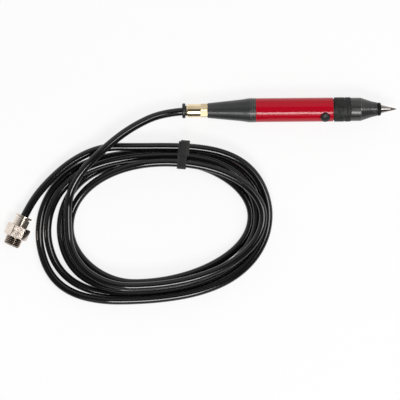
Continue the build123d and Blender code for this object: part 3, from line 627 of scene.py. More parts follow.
# %% Turn the release ring
RING_START, RING_NECK, RING_END = -80.275, -77.875, -72.975
HOSE_BORE = 3.15
ring_bm = turn_on_lathe([
    (RING_START, HOSE_BORE, 0.35), (RING_START, 5.6, 0.55), (RING_NECK, 5.6, 0.55), (RING_NECK, 3.75, 0),
    (RING_END, 3.75, 0.1), (RING_END, HOSE_BORE, 0),
])
release = finish_piece(ring_bm, "push_ring", "release", "release_ring")

# %% [markdown]
# ## Knurled regulator ring
# Turning this ring opens the exhaust and sets the stroke. Its two bands are knurled:
# a pair of wheels presses a diamond pattern into the metal. A bump could show it, but
# the ring's outline would stay smooth, so the diamonds are real. A flat grid is turned
# by 45 degrees, trimmed to the band and rolled into a tube, and every diamond is inset
# and raised to a blunt pyramid. The plain parts grow out of the bands' edges.

# %% Roll a knurled band
DIAMONDS_ROUND = 58
KNURL_ROOT = 8.92
KNURL_DEPTH = 0.22
KNURL_FLANK = 0.2
ON_PLANE, ON_EDGE = 0.001, 0.005
WHOLE_SHARE = 0.9  # of a diamond's area, less where the band's edge cuts it
diamond = 2 * pi * KNURL_ROOT / DIAMONDS_ROUND


def trim(bm, place, way, near=0.0):
    """Cuts a bmesh with a plane and drops what lies beyond it."""
    everything = bm.verts[:] + bm.edges[:] + bm.faces[:]
    bmesh.ops.bisect_plane(
        bm, geom=everything, dist=near * MM, plane_co=place, plane_no=way, clear_outer=True
    )


def at_seam(vert):
    """Whether a vertex of a rolled band lies where its two edges met, straight down."""
    return abs(vert.co.y) < ON_PLANE * MM and vert.co.z < 0


def knurled_band(x_middle, rows):
    """Bmesh of an open tube of diamonds about the X axis."""
    bm = bmesh.new()
    rubbed = bm.faces.layers.float.new("rubbed")
    cells = DIAMONDS_ROUND + rows + 2
    cells += cells % 2
    side = diamond / 2 ** 0.5
    bmesh.ops.create_grid(
        bm, x_segments=cells, y_segments=cells, size=cells * side / 2 * MM,
        matrix=Matrix.Rotation(pi / 4, 4, "Z"),
    )
    for way, count in ((Vector((1, 0, 0)), rows), (Vector((0, 1, 0)), DIAMONDS_ROUND)):
        for sign in (-1, 1):
            trim(bm, way * sign * count * diamond / 2 * MM, way * sign, ON_PLANE)
    for vert in bm.verts:
        angle = vert.co.y / (KNURL_ROOT * MM)
        out = Vector((0, sin(angle), cos(angle))) * KNURL_ROOT * MM
        vert.co = Vector((x_middle * MM + vert.co.x, 0, 0)) + out
    bmesh.ops.remove_doubles(bm, verts=bm.verts[:], dist=ON_EDGE * MM)
    seam = [edge for edge in bm.edges if edge.is_manifold and all(at_seam(vert) for vert in edge.verts)]
    bmesh.ops.dissolve_edges(bm, edges=seam, use_verts=False)
    for face in bm.faces:
        centre = face.calc_center_median()
        if face.normal.dot(Vector((0, centre.y, centre.z))) < 0:
            face.normal_flip()
    least_area = WHOLE_SHARE * (side * MM) ** 2
    whole = [face for face in bm.faces if len(face.verts) == 4 and face.calc_area() > least_area]
    bmesh.ops.inset_individual(bm, faces=whole, thickness=KNURL_FLANK * MM, depth=KNURL_DEPTH * MM)
    # The raised tops are marked for a lighter colour, partly wear and partly a painted highlight.
    for face in whole:
        face[rubbed] = 1.0
    print(len(whole), "diamonds")
    return bm


# %% Helpers that join rings of edges
def open_ring(bm, x, near=ON_EDGE):
    """Open edges of a bmesh that lie at this place along the axis, in mm."""
    return [
        edge for edge in bm.edges
        if edge.is_boundary and all(abs(vert.co.x - x * MM) < near * MM for vert in edge.verts)
    ]


def add_to(bm, other):
    """Moves the mesh of another bmesh into the first."""
    spare = bpy.data.meshes.new("spare")
    other.to_mesh(spare)
    other.free()
    bm.from_mesh(spare)
    bpy.data.meshes.remove(spare)


def pull_ring(bm, ring, *corners):
    """Extrudes a ring of edges from corner to corner, each given in mm as (x, radius)."""
    for x, radius in corners:
        made = bmesh.ops.extrude_edge_only(bm, edges=ring)["geom"]
        for vert in (item for item in made if isinstance(item, bmesh.types.BMVert)):
            out = Vector((0, vert.co.y, vert.co.z)).normalized()
            vert.co = Vector((x * MM, 0, 0)) + out * radius * MM
        ring = [item for item in made if isinstance(item, bmesh.types.BMEdge) and item.is_boundary]
    return ring


# %% Build the regulator ring
KNURL_START, KNURL_END = 33.575, 45.775
WIDE_ROWS, NARROW_ROWS = 7, 4
WIDE_START, NARROW_START = 34.1, 41.5
CORE_BORE = 6.55
SLOT_RADIUS = 7.5
GROOVE_RADIUS = 8.8
KNURL_SHARP = 30
wide_end = WIDE_START + WIDE_ROWS * diamond
narrow_end = NARROW_START + NARROW_ROWS * diamond
knurl_bm = knurled_band((WIDE_START + wide_end) / 2, WIDE_ROWS)
add_to(knurl_bm, knurled_band((NARROW_START + narrow_end) / 2, NARROW_ROWS))
groove_corners = ((wide_end + 0.1, GROOVE_RADIUS), (NARROW_START - 0.1, GROOVE_RADIUS))
groove_ring = pull_ring(knurl_bm, open_ring(knurl_bm, wide_end), *groove_corners)
bmesh.ops.bridge_loops(knurl_bm, edges=groove_ring + open_ring(knurl_bm, NARROW_START))
bore_ring = pull_ring(
    knurl_bm, open_ring(knurl_bm, WIDE_START),
    (33.95, 9.1), (33.7, 9.05), (KNURL_START, 8.85), (KNURL_START, CORE_BORE),
    (38.475, CORE_BORE), (38.475, SLOT_RADIUS), (40.875, SLOT_RADIUS), (40.875, CORE_BORE),
    (41.575, CORE_BORE), (41.575, SLOT_RADIUS), (43.375, SLOT_RADIUS), (43.375, CORE_BORE),
)
front_corners = ((narrow_end + 0.1, 9.1), (45.6, 9.05), (KNURL_END, 8.85), (KNURL_END, CORE_BORE))
front_ring = pull_ring(knurl_bm, open_ring(knurl_bm, narrow_end), *front_corners)
bmesh.ops.bridge_loops(knurl_bm, edges=bore_ring + front_ring)
bmesh.ops.recalc_face_normals(knurl_bm, faces=knurl_bm.faces[:])
print("open edges", sum(not edge.is_manifold for edge in knurl_bm.edges))
regulator = finish_piece(
    knurl_bm, "knurled_ring", "regulator", "regulator_ring", sharp=KNURL_SHARP
)

# %% [markdown]
# ## Nose
# The nose screws over the front of the inner body and holds the needle's bush. It is a
# short cylinder, a steep cone and a flatter cone, with a rubber ring on its end. The
# cones keep the shallow rings of the tool that turned them, so these go into the outline.

# %% Turn the nose and its ring
NOSE_START, CONE_START, NOSE_END, NOSE_RING_END = 45.875, 53.475, 65.775, 68.775
CONE_BREAK = CONE_START + 8.4
NOSE_RADIUS, BREAK_RADIUS, END_RADIUS = 8.75, 5.9, 5.1
BUSH_BORE, SPRING_BORE = 4.33, 4.75
RUBBER_RADIUS = 4.95
TOOL_PITCH, TOOL_DEPTH, TOOL_HALF = 1.3, 0.09, 0.3
TOOL_FIRST = 0.6  # place of the first groove, in pitches


def tool_rings(start, end):
    """Outline corners of the shallow grooves that a round tool leaves on a cone.

    The cone's two ends are given in mm as (x, radius).
    """
    corners = []
    count = int((end[0] - start[0]) / TOOL_PITCH)
    for ring in range(count):
        for side, depth in ((-TOOL_HALF, 0), (0, TOOL_DEPTH), (TOOL_HALF, 0)):
            x = start[0] + (ring + TOOL_FIRST) * TOOL_PITCH + side
            share = (x - start[0]) / (end[0] - start[0])
            corners.append((x, start[1] + (end[1] - start[1]) * share - depth, 0))
    return corners


nose_bm = turn_on_lathe([
    (NOSE_START, CORE_SOCKET, 0), (NOSE_START, NOSE_RADIUS, 0.3), (CONE_START, NOSE_RADIUS, 0.25),
    *tool_rings((CONE_START, NOSE_RADIUS), (CONE_BREAK, BREAK_RADIUS)), (CONE_BREAK, BREAK_RADIUS, 0.1),
    *tool_rings((CONE_BREAK, BREAK_RADIUS), (NOSE_END, END_RADIUS)), (NOSE_END, END_RADIUS, 0.1),
    (NOSE_END, BUSH_BORE, 0), (59.575, BUSH_BORE, 0), (59.575, SPRING_BORE, 0), (51.725, SPRING_BORE, 0),
    (51.725, CORE_SOCKET, 0),
])
nose = finish_piece(nose_bm, "nose_taper", "pen_body", "nose_cone")

rubber_bm = turn_on_lathe([
    (NOSE_END, 3.83, 0), (NOSE_END, RUBBER_RADIUS, 0.9), (NOSE_RING_END, RUBBER_RADIUS, 1.4),
    (NOSE_RING_END, 3.45, 0.1), (67.875, 3.45, 0), (67.875, 3.83, 0),
])
rubber = finish_piece(rubber_bm, "rubber_ring", "pen_body", "nose_ring")

# %% [markdown]
# ## Needle
# The needle is ground steel, and its point is a piece of hard metal brazed on. Both
# could be one mesh with two materials, but the point is a piece of its own, so each is
# turned alone. Their cones run on into each other, and the two broken edges leave a fine
# line at the joint, where the braze shows.

# %% Turn the needle
POINT_START, SEAT, TIP = 68.775, 75.775, 80.275
NEEDLE_RADIUS, TIP_RADIUS, FLANGE = 3.15, 0.25, 4.45
SEAT_RADIUS = TIP_RADIUS + (NEEDLE_RADIUS - TIP_RADIUS) * (TIP - SEAT) / (TIP - POINT_START)
shank_bm = turn_on_lathe([
    (49.675, 0, 0), (49.675, NEEDLE_RADIUS, 0.45), (51.775, NEEDLE_RADIUS, 0), (51.775, FLANGE, 0.15),
    (53.575, FLANGE, 0.15), (53.575, NEEDLE_RADIUS, 0), (POINT_START, NEEDLE_RADIUS, 0.4),
    (SEAT, SEAT_RADIUS, 0.05), (SEAT, 0.53, 0), (73.175, 0.53, 0), (73.175, 0, 0),
])
shank = finish_piece(shank_bm, "needle", "stylus", "stylus_shank")
tip_bm = turn_on_lathe([
    (73.275, 0, 0), (73.275, 0.5, 0.1), (SEAT, 0.5, 0), (SEAT, SEAT_RADIUS, 0.05), (TIP - 0.25, 0.3, 0.1),
    (TIP, 0.12, 0.05), (TIP, 0, 0),
])
tip = finish_piece(tip_bm, "hard_point", "stylus", "stylus_tip")

# %% [markdown]
# ## Springs
# Two springs, hidden in the pen, push the needle and the button back. Each is a steel
# wire wound on a rod, so a round section is spun about the spring's axis and moved along
# by one pitch for every turn. One end stays with the pen and the other goes with the piece
# that it pushes. The turns between them share the motion.

# %% Wind the springs
SPRING_STEPS = 32
WIRE_STEPS = 12


def wind_spring(start, end, radius, wire, turns):
    """Closed bmesh of a spring along X, between the middles of its wire at both ends."""
    bm = bmesh.new()
    bm.faces.layers.float.new("rubbed")
    bmesh.ops.create_circle(
        bm, cap_ends=False, segments=WIRE_STEPS, radius=wire / 2 * MM,
        matrix=Matrix.Translation((start * MM, 0, -radius * MM)) @ Matrix.Rotation(pi / 2, 4, "X"),
    )
    steps = SPRING_STEPS * turns
    spin_round(bm, turns, steps, (end - start) * MM / steps)
    bmesh.ops.holes_fill(bm, edges=bm.edges[:], sides=0)
    bmesh.ops.recalc_face_normals(bm, faces=bm.faces[:])
    return bm


def fit_spring(name, node, body, place, held, pushed, **coil):
    """Spring that the pen holds at one end and another body pushes at the other, in mm along it."""
    bm = wind_spring(*sorted((held, pushed)), **coil)
    spring = finish_piece(bm, name, None, node, place)
    held_end, pushed_end = (place @ Vector((x * MM, 0, 0)) for x in (held, pushed))
    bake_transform(spring, "pen_body", body, start=held_end, end=pushed_end)
    return spring


needle_spring = fit_spring(
    "needle_spring", "stylus_spring", "stylus", ON_AXIS, held=59.075, pushed=54.075,
    radius=3.85, wire=0.8, turns=4,
)
valve_spring = fit_spring(
    "valve_spring", "button_spring", "button", at_button, held=-6.05, pushed=-3.95,
    radius=1.6, wire=0.5, turns=3,
)

# %% [markdown]
# ## Connector
# The hose ends in a plated connector: a thin disc, a round barrel that holds the hose and
# a body with a hexagon and a pipe thread. The thread is a true helix, made with
# a spin that moves along by one pitch for every turn, then trimmed to length. Its free
# end is turned down so that it starts easily.

# %% Connector disc and barrel
CONNECTOR_PLACE = (-199.5, -77.9, 8.681)
CONNECTOR_HEADING = radians(245.4)
at_connector = (
    Matrix.Translation(Vector(CONNECTOR_PLACE) * MM) @ Matrix.Rotation(CONNECTOR_HEADING, 4, "Z")
)
BARREL_START, BODY_START, THREAD_START, THREAD_END = 1.5, 8.3, 17.2, 24.0
DISC_RADIUS, BARREL_NECK, BARREL_RADIUS = 6.4, 4.7, 5.7
SPIGOT_BORE = 4.28

disc_bm = turn_on_lathe([
    (0, HOSE_BORE, 0.3), (0, DISC_RADIUS, 0.25), (BARREL_START, DISC_RADIUS, 0.25),
    (BARREL_START, HOSE_BORE, 0),
])
disc = finish_piece(disc_bm, "hose_disc", "pen_body", "connector_collar", at_connector)

barrel_bm = turn_on_lathe([
    (BARREL_START, HOSE_BORE, 0), (BARREL_START, BARREL_NECK, 0), (BARREL_START + 1.0, BARREL_NECK, 0),
    (BARREL_START + 1.0, BARREL_RADIUS, 0.3), (BODY_START, BARREL_RADIUS, 0.3),
    (BODY_START, SPIGOT_BORE, 0), (3.4, SPIGOT_BORE, 0), (3.4, HOSE_BORE, 0),
])
barrel = finish_piece(barrel_bm, "hose_barrel", "pen_body", "connector_barrel", at_connector)

# %% Pipe thread
THREAD_RADIUS = 6.5785
THREAD_PITCH = 1.337
THREAD_DEPTH = 0.85
THREAD_STEPS = 48
THREAD_UNDERCUT = 0.5
THREAD_TAPER = 0.9
THREAD_LEAD = 1.5  # pitches that are wound before the start and trimmed off
THREAD_CAP, END_INSET = 0.02, 0.25
THREAD_MERGE, NEAR_CUT, NEAR_END = 0.01, 0.0005, 0.0001
# One turn of the thread: share of the pitch, and whether that corner is on the crest
THREAD_FORM = ((0, False), (0.12, False), (0.48, True), (0.64, True), (1, False))


def pipe_thread(start, end):
    """Closed bmesh of a threaded rod along X."""
    root = THREAD_RADIUS - THREAD_DEPTH
    turns = int((end - start) / THREAD_PITCH) + 3
    first = start - THREAD_PITCH * THREAD_LEAD
    bm = bmesh.new()
    corners = []
    for share, on_crest in THREAD_FORM:
        radius = THREAD_RADIUS if on_crest else root
        corners.append(bm.verts.new(((first + share * THREAD_PITCH) * MM, 0, radius * MM)))
    for pair in zip(corners, corners[1:]):
        bm.edges.new(pair)
    spin_round(bm, turns, THREAD_STEPS * turns, THREAD_PITCH * MM / THREAD_STEPS)
    bmesh.ops.remove_doubles(bm, verts=bm.verts[:], dist=THREAD_MERGE * MM)
    for x, side in ((start, -1), (end, 1)):
        trim(bm, (x * MM, 0, 0), (side, 0, 0), NEAR_CUT)
        rim = pull_ring(bm, open_ring(bm, x, NEAR_END), (x + side * THREAD_CAP, root - END_INSET))
        bmesh.ops.contextual_create(bm, geom=rim)
    for vert in bm.verts:
        limit = THREAD_RADIUS * MM - max(0, vert.co.x - (end - THREAD_TAPER) * MM)
        out = Vector((0, vert.co.y, vert.co.z))
        if out.length > limit:
            vert.co += out.normalized() * (limit - out.length)
    bmesh.ops.recalc_face_normals(bm, faces=bm.faces[:])
    bm.faces.layers.float.new("rubbed")
    return bm


thread_bm = pipe_thread(THREAD_START + THREAD_UNDERCUT, THREAD_END - THREAD_CAP)
print("thread open edges", sum(not edge.is_manifold for edge in thread_bm.edges))

# %% Connector body
BODY_FLATS = 16.0
BODY_CLOCKING = -10.0
SPIGOT_RADIUS, THREAD_NECK = 4.25, 5.4
MOUTH_RADIUS = 4.0

body_bm = combine(
    hexagon_bar(BODY_START, THREAD_START, BODY_FLATS, BODY_CLOCKING, 0.5),
    turn_on_lathe([
        (3.5, 0, 0), (3.5, SPIGOT_RADIUS, 0), (BODY_START + 1, SPIGOT_RADIUS, 0),
        (BODY_START + 1, THREAD_NECK, 0), (THREAD_START + 1, THREAD_NECK, 0), (THREAD_START + 1, 0, 0),
    ]),
    "UNION",
)
break_sharp_edges(body_bm, 0.2)
body_bm = combine(body_bm, thread_bm, "UNION")
body_bm = combine(
    body_bm,
    turn_on_lathe([
        (1.6, 0, 0), (1.6, HOSE_SOCKET, 0), (9.5, HOSE_SOCKET, 0), (9.5, AIR_BORE, 0),
        (THREAD_END - 1.4, AIR_BORE, 0), (THREAD_END + 0.6, MOUTH_RADIUS, 0), (THREAD_END + 0.6, 0, 0),
    ]),
    "DIFFERENCE",
)
body = finish_piece(body_bm, "pipe_connector", "pen_body", "connector_body", at_connector)

# %% [markdown]
# ## Strap
# A strip of hook and loop tape is pulled tight around the five strands, and its free
# end lies over the first layer. The tape spans straight from one outer strand to the
# next, which is the convex hull of the strands, so the hull operator makes it.

# %% Strands under the strap
STRAP_X = -80.5
STRAP_BUNDLE = (-55.0, -15.0)

guide = lay_spline("strap_guide", route, 0)
guide_mesh = bpy.data.meshes.new_from_object(guide.evaluated_get(bpy.context.evaluated_depsgraph_get()))
centre_line = [vert.co.copy() for vert in guide_mesh.vertices]
bpy.data.meshes.remove(guide_mesh)
bpy.data.curves.remove(guide.data)
strands = []
strap_way = Vector()
for first, second in zip(centre_line, centre_line[1:]):
    in_bundle = STRAP_BUNDLE[0] * MM < first.y < STRAP_BUNDLE[1] * MM
    if in_bundle and first.x >= STRAP_X * MM > second.x:
        share = (STRAP_X * MM - first.x) / (second.x - first.x)
        strands.append(first.lerp(second, share))
        strap_way += (second - first).normalized()
strap_way.z = 0
strap_way.normalize()
strap_middle = sum(strands, Vector()) / len(strands)
print(len(strands), "strands at heights", [round(strand.z / MM, 1) for strand in strands])

# %% Wrap the strap
STRAP_WIDTH = 6.7
STRAP_THICKNESS = 0.95
STRAP_CLEARANCE = 0.4
STRAP_SHIFT = 1.5
STRAP_ROUNDING, STRAP_SHARP = 0.2, 60
LAYER_GAP = 0.03
FREE_END_HEIGHT = 6.5
STRAND_STEPS = 32
FLAT_ANGLE = 0.5  # degrees, below which two faces are made one
FACES_END = 0.9  # how squarely a face looks along the strands to be an end of the hull
UP = Vector((0, 0, 1))


def wrap(radius, shift):
    """Open band around the strands, this far from their centres, in mm."""
    bm = bmesh.new()
    turn = UP.rotation_difference(strap_way).to_matrix().to_4x4()
    for strand in strands:
        flat = strand - strap_way * (strand - strap_middle).dot(strap_way) + strap_way * shift * MM
        bmesh.ops.create_cone(
            bm, segments=STRAND_STEPS, radius1=radius * MM, radius2=radius * MM, depth=STRAP_WIDTH * MM,
            matrix=Matrix.Translation(flat) @ turn,
        )
    bmesh.ops.delete(bm, geom=bm.faces[:], context="FACES_ONLY")
    hull = bmesh.ops.convex_hull(bm, input=bm.verts[:])
    inside = hull["geom_interior"] + hull["geom_unused"]
    loose = [item for item in inside if isinstance(item, bmesh.types.BMVert)]
    bmesh.ops.delete(bm, geom=loose, context="VERTS")
    ends = [face for face in bm.faces if abs(face.normal.dot(strap_way)) > FACES_END]
    bmesh.ops.delete(bm, geom=ends, context="FACES")
    bmesh.ops.dissolve_limit(bm, angle_limit=radians(FLAT_ANGLE), verts=bm.verts[:], edges=bm.edges[:])
    return bm


def thicken(bm):
    """Gives a band its thickness outwards and breaks its edges."""
    bmesh.ops.recalc_face_normals(bm, faces=bm.faces[:])
    outwards = sum(face.normal.dot(face.calc_center_median() - strap_middle) for face in bm.faces)
    if outwards < 0:
        bmesh.ops.reverse_faces(bm, faces=bm.faces[:])
    bmesh.ops.solidify(bm, geom=bm.faces[:], thickness=-STRAP_THICKNESS * MM)
    bm.faces.layers.float.new("rubbed")
    break_sharp_edges(bm, STRAP_ROUNDING, STRAP_SHARP)


inner_radius = HOSE_DIAMETER / 2 + STRAP_CLEARANCE
strap_bm = wrap(inner_radius, 0)
thicken(strap_bm)
free_end = wrap(inner_radius + STRAP_THICKNESS + LAYER_GAP, -STRAP_SHIFT)
trim(free_end, strap_middle, UP.cross(strap_way))
trim(free_end, UP * FREE_END_HEIGHT * MM, -UP)
thicken(free_end)
add_to(strap_bm, free_end)
strap = finish_piece(strap_bm, "tape_strap", "pen_body", "hose_tie", Matrix.Identity(4))

# %% [markdown]
# ## What the hose carries
# The hose is a fixed length of something flexible. Its connector and its strap are
# fixed to the same body as the hose, so they move with it.

# %% [markdown]
# ## Finishes: what they share
# No real surface is one even colour. Anodising is a little cloudy, fingers leave smooth
# and dull patches, a lathe tool leaves rings and a mould leaves grain. Each effect is
# a node group that is built once and placed in the materials with other values. The
# groups put out colours, masks and heights, and the shader stays in the material.

# %% Node group helpers
def srgb(red, green, blue):
    """Linear colour from the 0 to 255 values of a colour picker."""
    linear = []
    for value in (red, green, blue):
        share = value / 255
        linear.append(share / 12.92 if share <= 0.04045 else ((share + 0.055) / 1.055) ** 2.4)
    return (*linear, 1)


def start_group(name, inputs, outputs):
    """Empty shader node group with named sockets, and the sockets of its inner ends."""
    group = bpy.data.node_groups.new(name, "ShaderNodeTree")
    for way, sockets in (("INPUT", inputs), ("OUTPUT", outputs)):
        for socket, kind in sockets.items():
            group.interface.new_socket(name=socket, in_out=way, socket_type="NodeSocket" + kind)
    enter = group.nodes.new("NodeGroupInput")
    leave = group.nodes.new("NodeGroupOutput")
    return group, enter.outputs, leave.inputs


def use_group(tree, group, inputs):
    """First output of a group that is placed in a material with its own values."""
    return add_node(tree, "ShaderNodeGroup", inputs, node_tree=group).outputs[0]


def noise(tree, vector, scale, detail=3.0, roughness=0.55):
    """Value of a noise texture."""
    values = {"Vector": vector, "Scale": scale, "Detail": detail, "Roughness": roughness}
    return add_node(tree, "ShaderNodeTexNoise", values).outputs["Fac"]


def mix_colours(tree, share, first, second):
    """Colour between two colours."""
    return add_node(tree, "ShaderNodeMix", {0: share, 6: first, 7: second}, data_type="RGBA").outputs[2]


# %% Cloudy colour and finger marks
CLOUD_RANGE = (0.32, 0.68)
MARK_RANGE = (0.3, 0.7)

cloudy, enter, leave = start_group(
    "cloudy_colour", {"Vector": "Vector", "Scale": "Float", "Light": "Color", "Dark": "Color"},
    {"Color": "Color"},
)
clouds = spread(cloudy, noise(cloudy, enter["Vector"], enter["Scale"], detail=4.0), *CLOUD_RANGE)
cloudy.links.new(mix_colours(cloudy, clouds, enter["Dark"], enter["Light"]), leave["Color"])

finger_marks, enter, leave = start_group(
    "finger_marks", {"Vector": "Vector", "Scale": "Float", "Smooth": "Float", "Dull": "Float"},
    {"Roughness": "Float"},
)
patches = noise(finger_marks, enter["Vector"], enter["Scale"], detail=5.0, roughness=0.65)
marks = spread(finger_marks, patches, *MARK_RANGE, enter["Smooth"], enter["Dull"])
finger_marks.links.new(marks, leave["Roughness"])
print("groups", cloudy.name, finger_marks.name)

# %% Lathe rings, moulded grain and rubbed edges
BAND_SCALE, BAND_SHARE = 0.6, 0.35
RUB_RANGE = (0.42, 0.62)

lathe_rings, enter, leave = start_group(
    "lathe_rings", {"Vector": "Vector", "Scale": "Float"}, {"Height": "Float"}
)
along = add_node(lathe_rings, "ShaderNodeSeparateXYZ", {"Vector": enter["Vector"]}).outputs["X"]
along = add_node(lathe_rings, "ShaderNodeCombineXYZ", {"X": along}).outputs[0]
coarse = noise(lathe_rings, along, enter["Scale"], detail=2.0)
band_scale = calculate(lathe_rings, "MULTIPLY", enter["Scale"], BAND_SCALE)
bands = add_node(lathe_rings, "ShaderNodeTexWave", {"Vector": along, "Scale": band_scale}).outputs["Fac"]
bands = calculate(lathe_rings, "MULTIPLY", bands, BAND_SHARE)
lathe_rings.links.new(calculate(lathe_rings, "ADD", coarse, bands), leave["Height"])

grain, enter, leave = start_group(
    "moulded_grain", {"Vector": "Vector", "Scale": "Float"}, {"Height": "Float"}
)
grain.links.new(noise(grain, enter["Vector"], enter["Scale"], detail=2.0, roughness=0.5), leave["Height"])

rubbed_edges, enter, leave = start_group(
    "rubbed_edges", {"Vector": "Vector", "Rubbed": "Float", "Scale": "Float", "Amount": "Float"},
    {"Mask": "Float"},
)
broken = spread(rubbed_edges, noise(rubbed_edges, enter["Vector"], enter["Scale"]), *RUB_RANGE)
mask = calculate(rubbed_edges, "MULTIPLY", broken, enter["Rubbed"])
rubbed_edges.links.new(calculate(rubbed_edges, "MULTIPLY", mask, enter["Amount"]), leave["Mask"])
print("groups", lathe_rings.name, grain.name, rubbed_edges.name)

# %% [markdown]
# ## Finishes: one material each
# Every material starts from the same few steps, so helpers take them: a cloudy colour,
# a roughness with finger marks, a height for the bump and, where an edge can rub bare,
# a second colour on the marked faces. Numbers that are the same all over the surface
# are set on the shader itself. Most finishes need no more than these steps.

# %% Helpers for a finish
RUB_SCALE = 900.0


def start_finish(name, plain):
    """New material with numbers set on its shader, its node tree, shader and object coordinates."""
    finish = bpy.data.materials.new(name)
    finish.use_nodes = True
    tree = finish.node_tree
    shader = tree.nodes["Principled BSDF"]
    for key, value in plain.items():
        shader.inputs[key].default_value = value
    place = add_node(tree, "ShaderNodeTexCoord").outputs["Object"]
    return finish, tree, shader.inputs, place


def clouds_of(tree, place, light, dark, scale):
    """Colour that drifts between a light and a dark one."""
    values = {"Vector": place, "Scale": scale, "Light": srgb(*light), "Dark": srgb(*dark)}
    return use_group(tree, cloudy, values)


def dull_it(tree, shader, place, smooth, dull, scale):
    """Roughness that varies with finger marks."""
    values = {"Vector": place, "Scale": scale, "Smooth": smooth, "Dull": dull}
    tree.links.new(use_group(tree, finger_marks, values), shader["Roughness"])


def bump_it(tree, shader, height, depth):
    """Bump from a height, with its depth in mm."""
    bump = add_node(tree, "ShaderNodeBump", {"Height": height, "Distance": depth * MM, "Strength": 1.0})
    tree.links.new(bump.outputs[0], shader["Normal"])


def make_finish(name, plain, colours, marks, relief, bare=None, rub=0.0):
    """Material with the shared effects.

    colours are the light and the dark one and their scale, marks are the smooth and the dull
    roughness and their scale, and relief is a group, its scale and its depth in mm. Rubbed
    edges show the bare colour.
    """
    finish, tree, shader, place = start_finish(name, plain)
    colour = clouds_of(tree, place, *colours)
    if bare:
        edge = add_node(tree, "ShaderNodeAttribute", attribute_name="rubbed").outputs["Fac"]
        values = {"Vector": place, "Rubbed": edge, "Scale": RUB_SCALE, "Amount": rub}
        colour = mix_colours(tree, use_group(tree, rubbed_edges, values), colour, srgb(*bare))
    tree.links.new(colour, shader["Base Color"])
    dull_it(tree, shader, place, *marks)
    group, scale, depth = relief
    bump_it(tree, shader, use_group(tree, group, {"Vector": place, "Scale": scale}), depth)
    return finish


def give(finish, *pieces):
    """Puts a finish on pieces in place of what they have."""
    for piece in pieces:
        piece.data.materials.clear()
        piece.data.materials.append(finish)


# %% [markdown]
# ### Red lacquer
# The grip is drawn tube under a clear red lacquer. The lacquer is glossy and shows the
# strip lamp as one sharp line, and the drawn tube gives it faint lengthwise streaks:
# noise that is stretched along the pen.

# %% Red lacquer
STREAK_SCALE = (6.0, 420.0, 420.0)

red, tree, shader, place = start_finish("red_lacquer", {"Metallic": 0.0, "Specular IOR Level": 0.3})
streaks = add_node(tree, "ShaderNodeMapping", {"Vector": place, "Scale": STREAK_SCALE}).outputs[0]
tree.links.new(clouds_of(tree, streaks, (188, 4, 34), (176, 4, 28), 1.0), shader["Base Color"])
dull_it(tree, shader, place, 0.08, 0.14, 120.0)
bump_it(tree, shader, noise(tree, streaks, 2.0), 0.001)
give(red, sleeve)
print(red.name)

# %% [markdown]
# ### Dark anodising
# The cap and the nose are aluminium, anodised dark grey over a turned surface, so the
# highlight on them is soft and crossed by fine rings. The nose is left rougher from the
# tool and shines more like bare metal, so it has a finish of its own.

# %% Dark anodising
dark = make_finish(
    "dark_anodising", {"Metallic": 0.2, "Specular IOR Level": 0.4},
    colours=((65, 66, 65), (56, 57, 57), 90.0), marks=(0.2, 0.27, 120.0),
    relief=(lathe_rings, 1400.0, 0.012), bare=(128, 128, 126), rub=0.8,
)
turned_grey = make_finish(
    "turned_grey", {"Metallic": 0.5, "Specular IOR Level": 0.8},
    colours=((66, 66, 65), (57, 57, 57), 90.0), marks=(0.22, 0.3, 120.0),
    relief=(lathe_rings, 1400.0, 0.012), bare=(120, 120, 118), rub=0.7,
)
give(dark, rear_cap)
give(turned_grey, nose)
print(dark.name, turned_grey.name)

# %% [markdown]
# ### Blackened knurl
# The knurled ring is blackened steel. The tops of the diamonds are a little brighter
# than the valleys between them, partly from wear and partly as a painted highlight. The
# height above the axis could find those tops, but the diamonds were marked as rubbed
# when they were raised, so the mark is used.

# %% Blackened knurl
# The bare colour on the diamond tops is partly wear and partly a painted highlight.
blackened = make_finish(
    "blackened_knurl", {"Metallic": 0.4},
    colours=((50, 52, 50), (40, 42, 40), 300.0), marks=(0.4, 0.55, 300.0),
    relief=(grain, 4000.0, 0.01), bare=(92, 94, 90), rub=0.85,
)
give(blackened, regulator)
print(blackened.name)

# %% [markdown]
# ### Bright brass and nickel plate
# The fitting is bright brass and the connector has a warm nickel plate. Both are plain
# metals: their picture is the room around them, and only the small changes of
# roughness and the fine rings of the lathe are their own. The thread is painted darker
# towards its roots, a painted shade, found by the distance from the connector's axis.

# %% Brass
brass = make_finish(
    "bright_brass", {"Metallic": 1.0},
    colours=((246, 226, 188), (234, 211, 170), 160.0), marks=(0.08, 0.16, 120.0),
    relief=(lathe_rings, 2200.0, 0.003),
)
give(brass, fitting)
print(brass.name)

# %% Nickel
nickel, tree, shader, place = start_finish("warm_nickel", {"Metallic": 1.0})
along_connector = add_node(
    tree, "ShaderNodeMapping",
    {"Vector": place, "Location": Vector(CONNECTOR_PLACE) * MM, "Rotation": (0, 0, CONNECTOR_HEADING)},
    vector_type="TEXTURE",
).outputs[0]
split = add_node(tree, "ShaderNodeSeparateXYZ", {"Vector": along_connector}).outputs
flat = add_node(tree, "ShaderNodeCombineXYZ", {"X": split["Y"], "Y": split["Z"]}).outputs[0]
from_axis = add_node(tree, "ShaderNodeVectorMath", {0: flat}, operation="LENGTH").outputs["Value"]
# Painted shade: the thread's colour darkens from its crest down to its roots.
deep = spread(tree, from_axis, (THREAD_RADIUS - THREAD_DEPTH) * MM, THREAD_RADIUS * MM, 1.0, 0.0)
on_thread = spread(tree, split["X"], THREAD_START * MM, (THREAD_START + THREAD_UNDERCUT) * MM)
root_shade = calculate(tree, "MULTIPLY", deep, on_thread)
plate = clouds_of(tree, place, (238, 226, 214), (222, 208, 195), 200.0)
tree.links.new(mix_colours(tree, root_shade, plate, srgb(94, 80, 68)), shader["Base Color"])
dull_it(tree, shader, place, 0.1, 0.2, 260.0)
rings = use_group(tree, lathe_rings, {"Vector": along_connector, "Scale": 1800.0})
bump_it(tree, shader, rings, 0.004)
give(nickel, disc, barrel, body)
print(nickel.name)

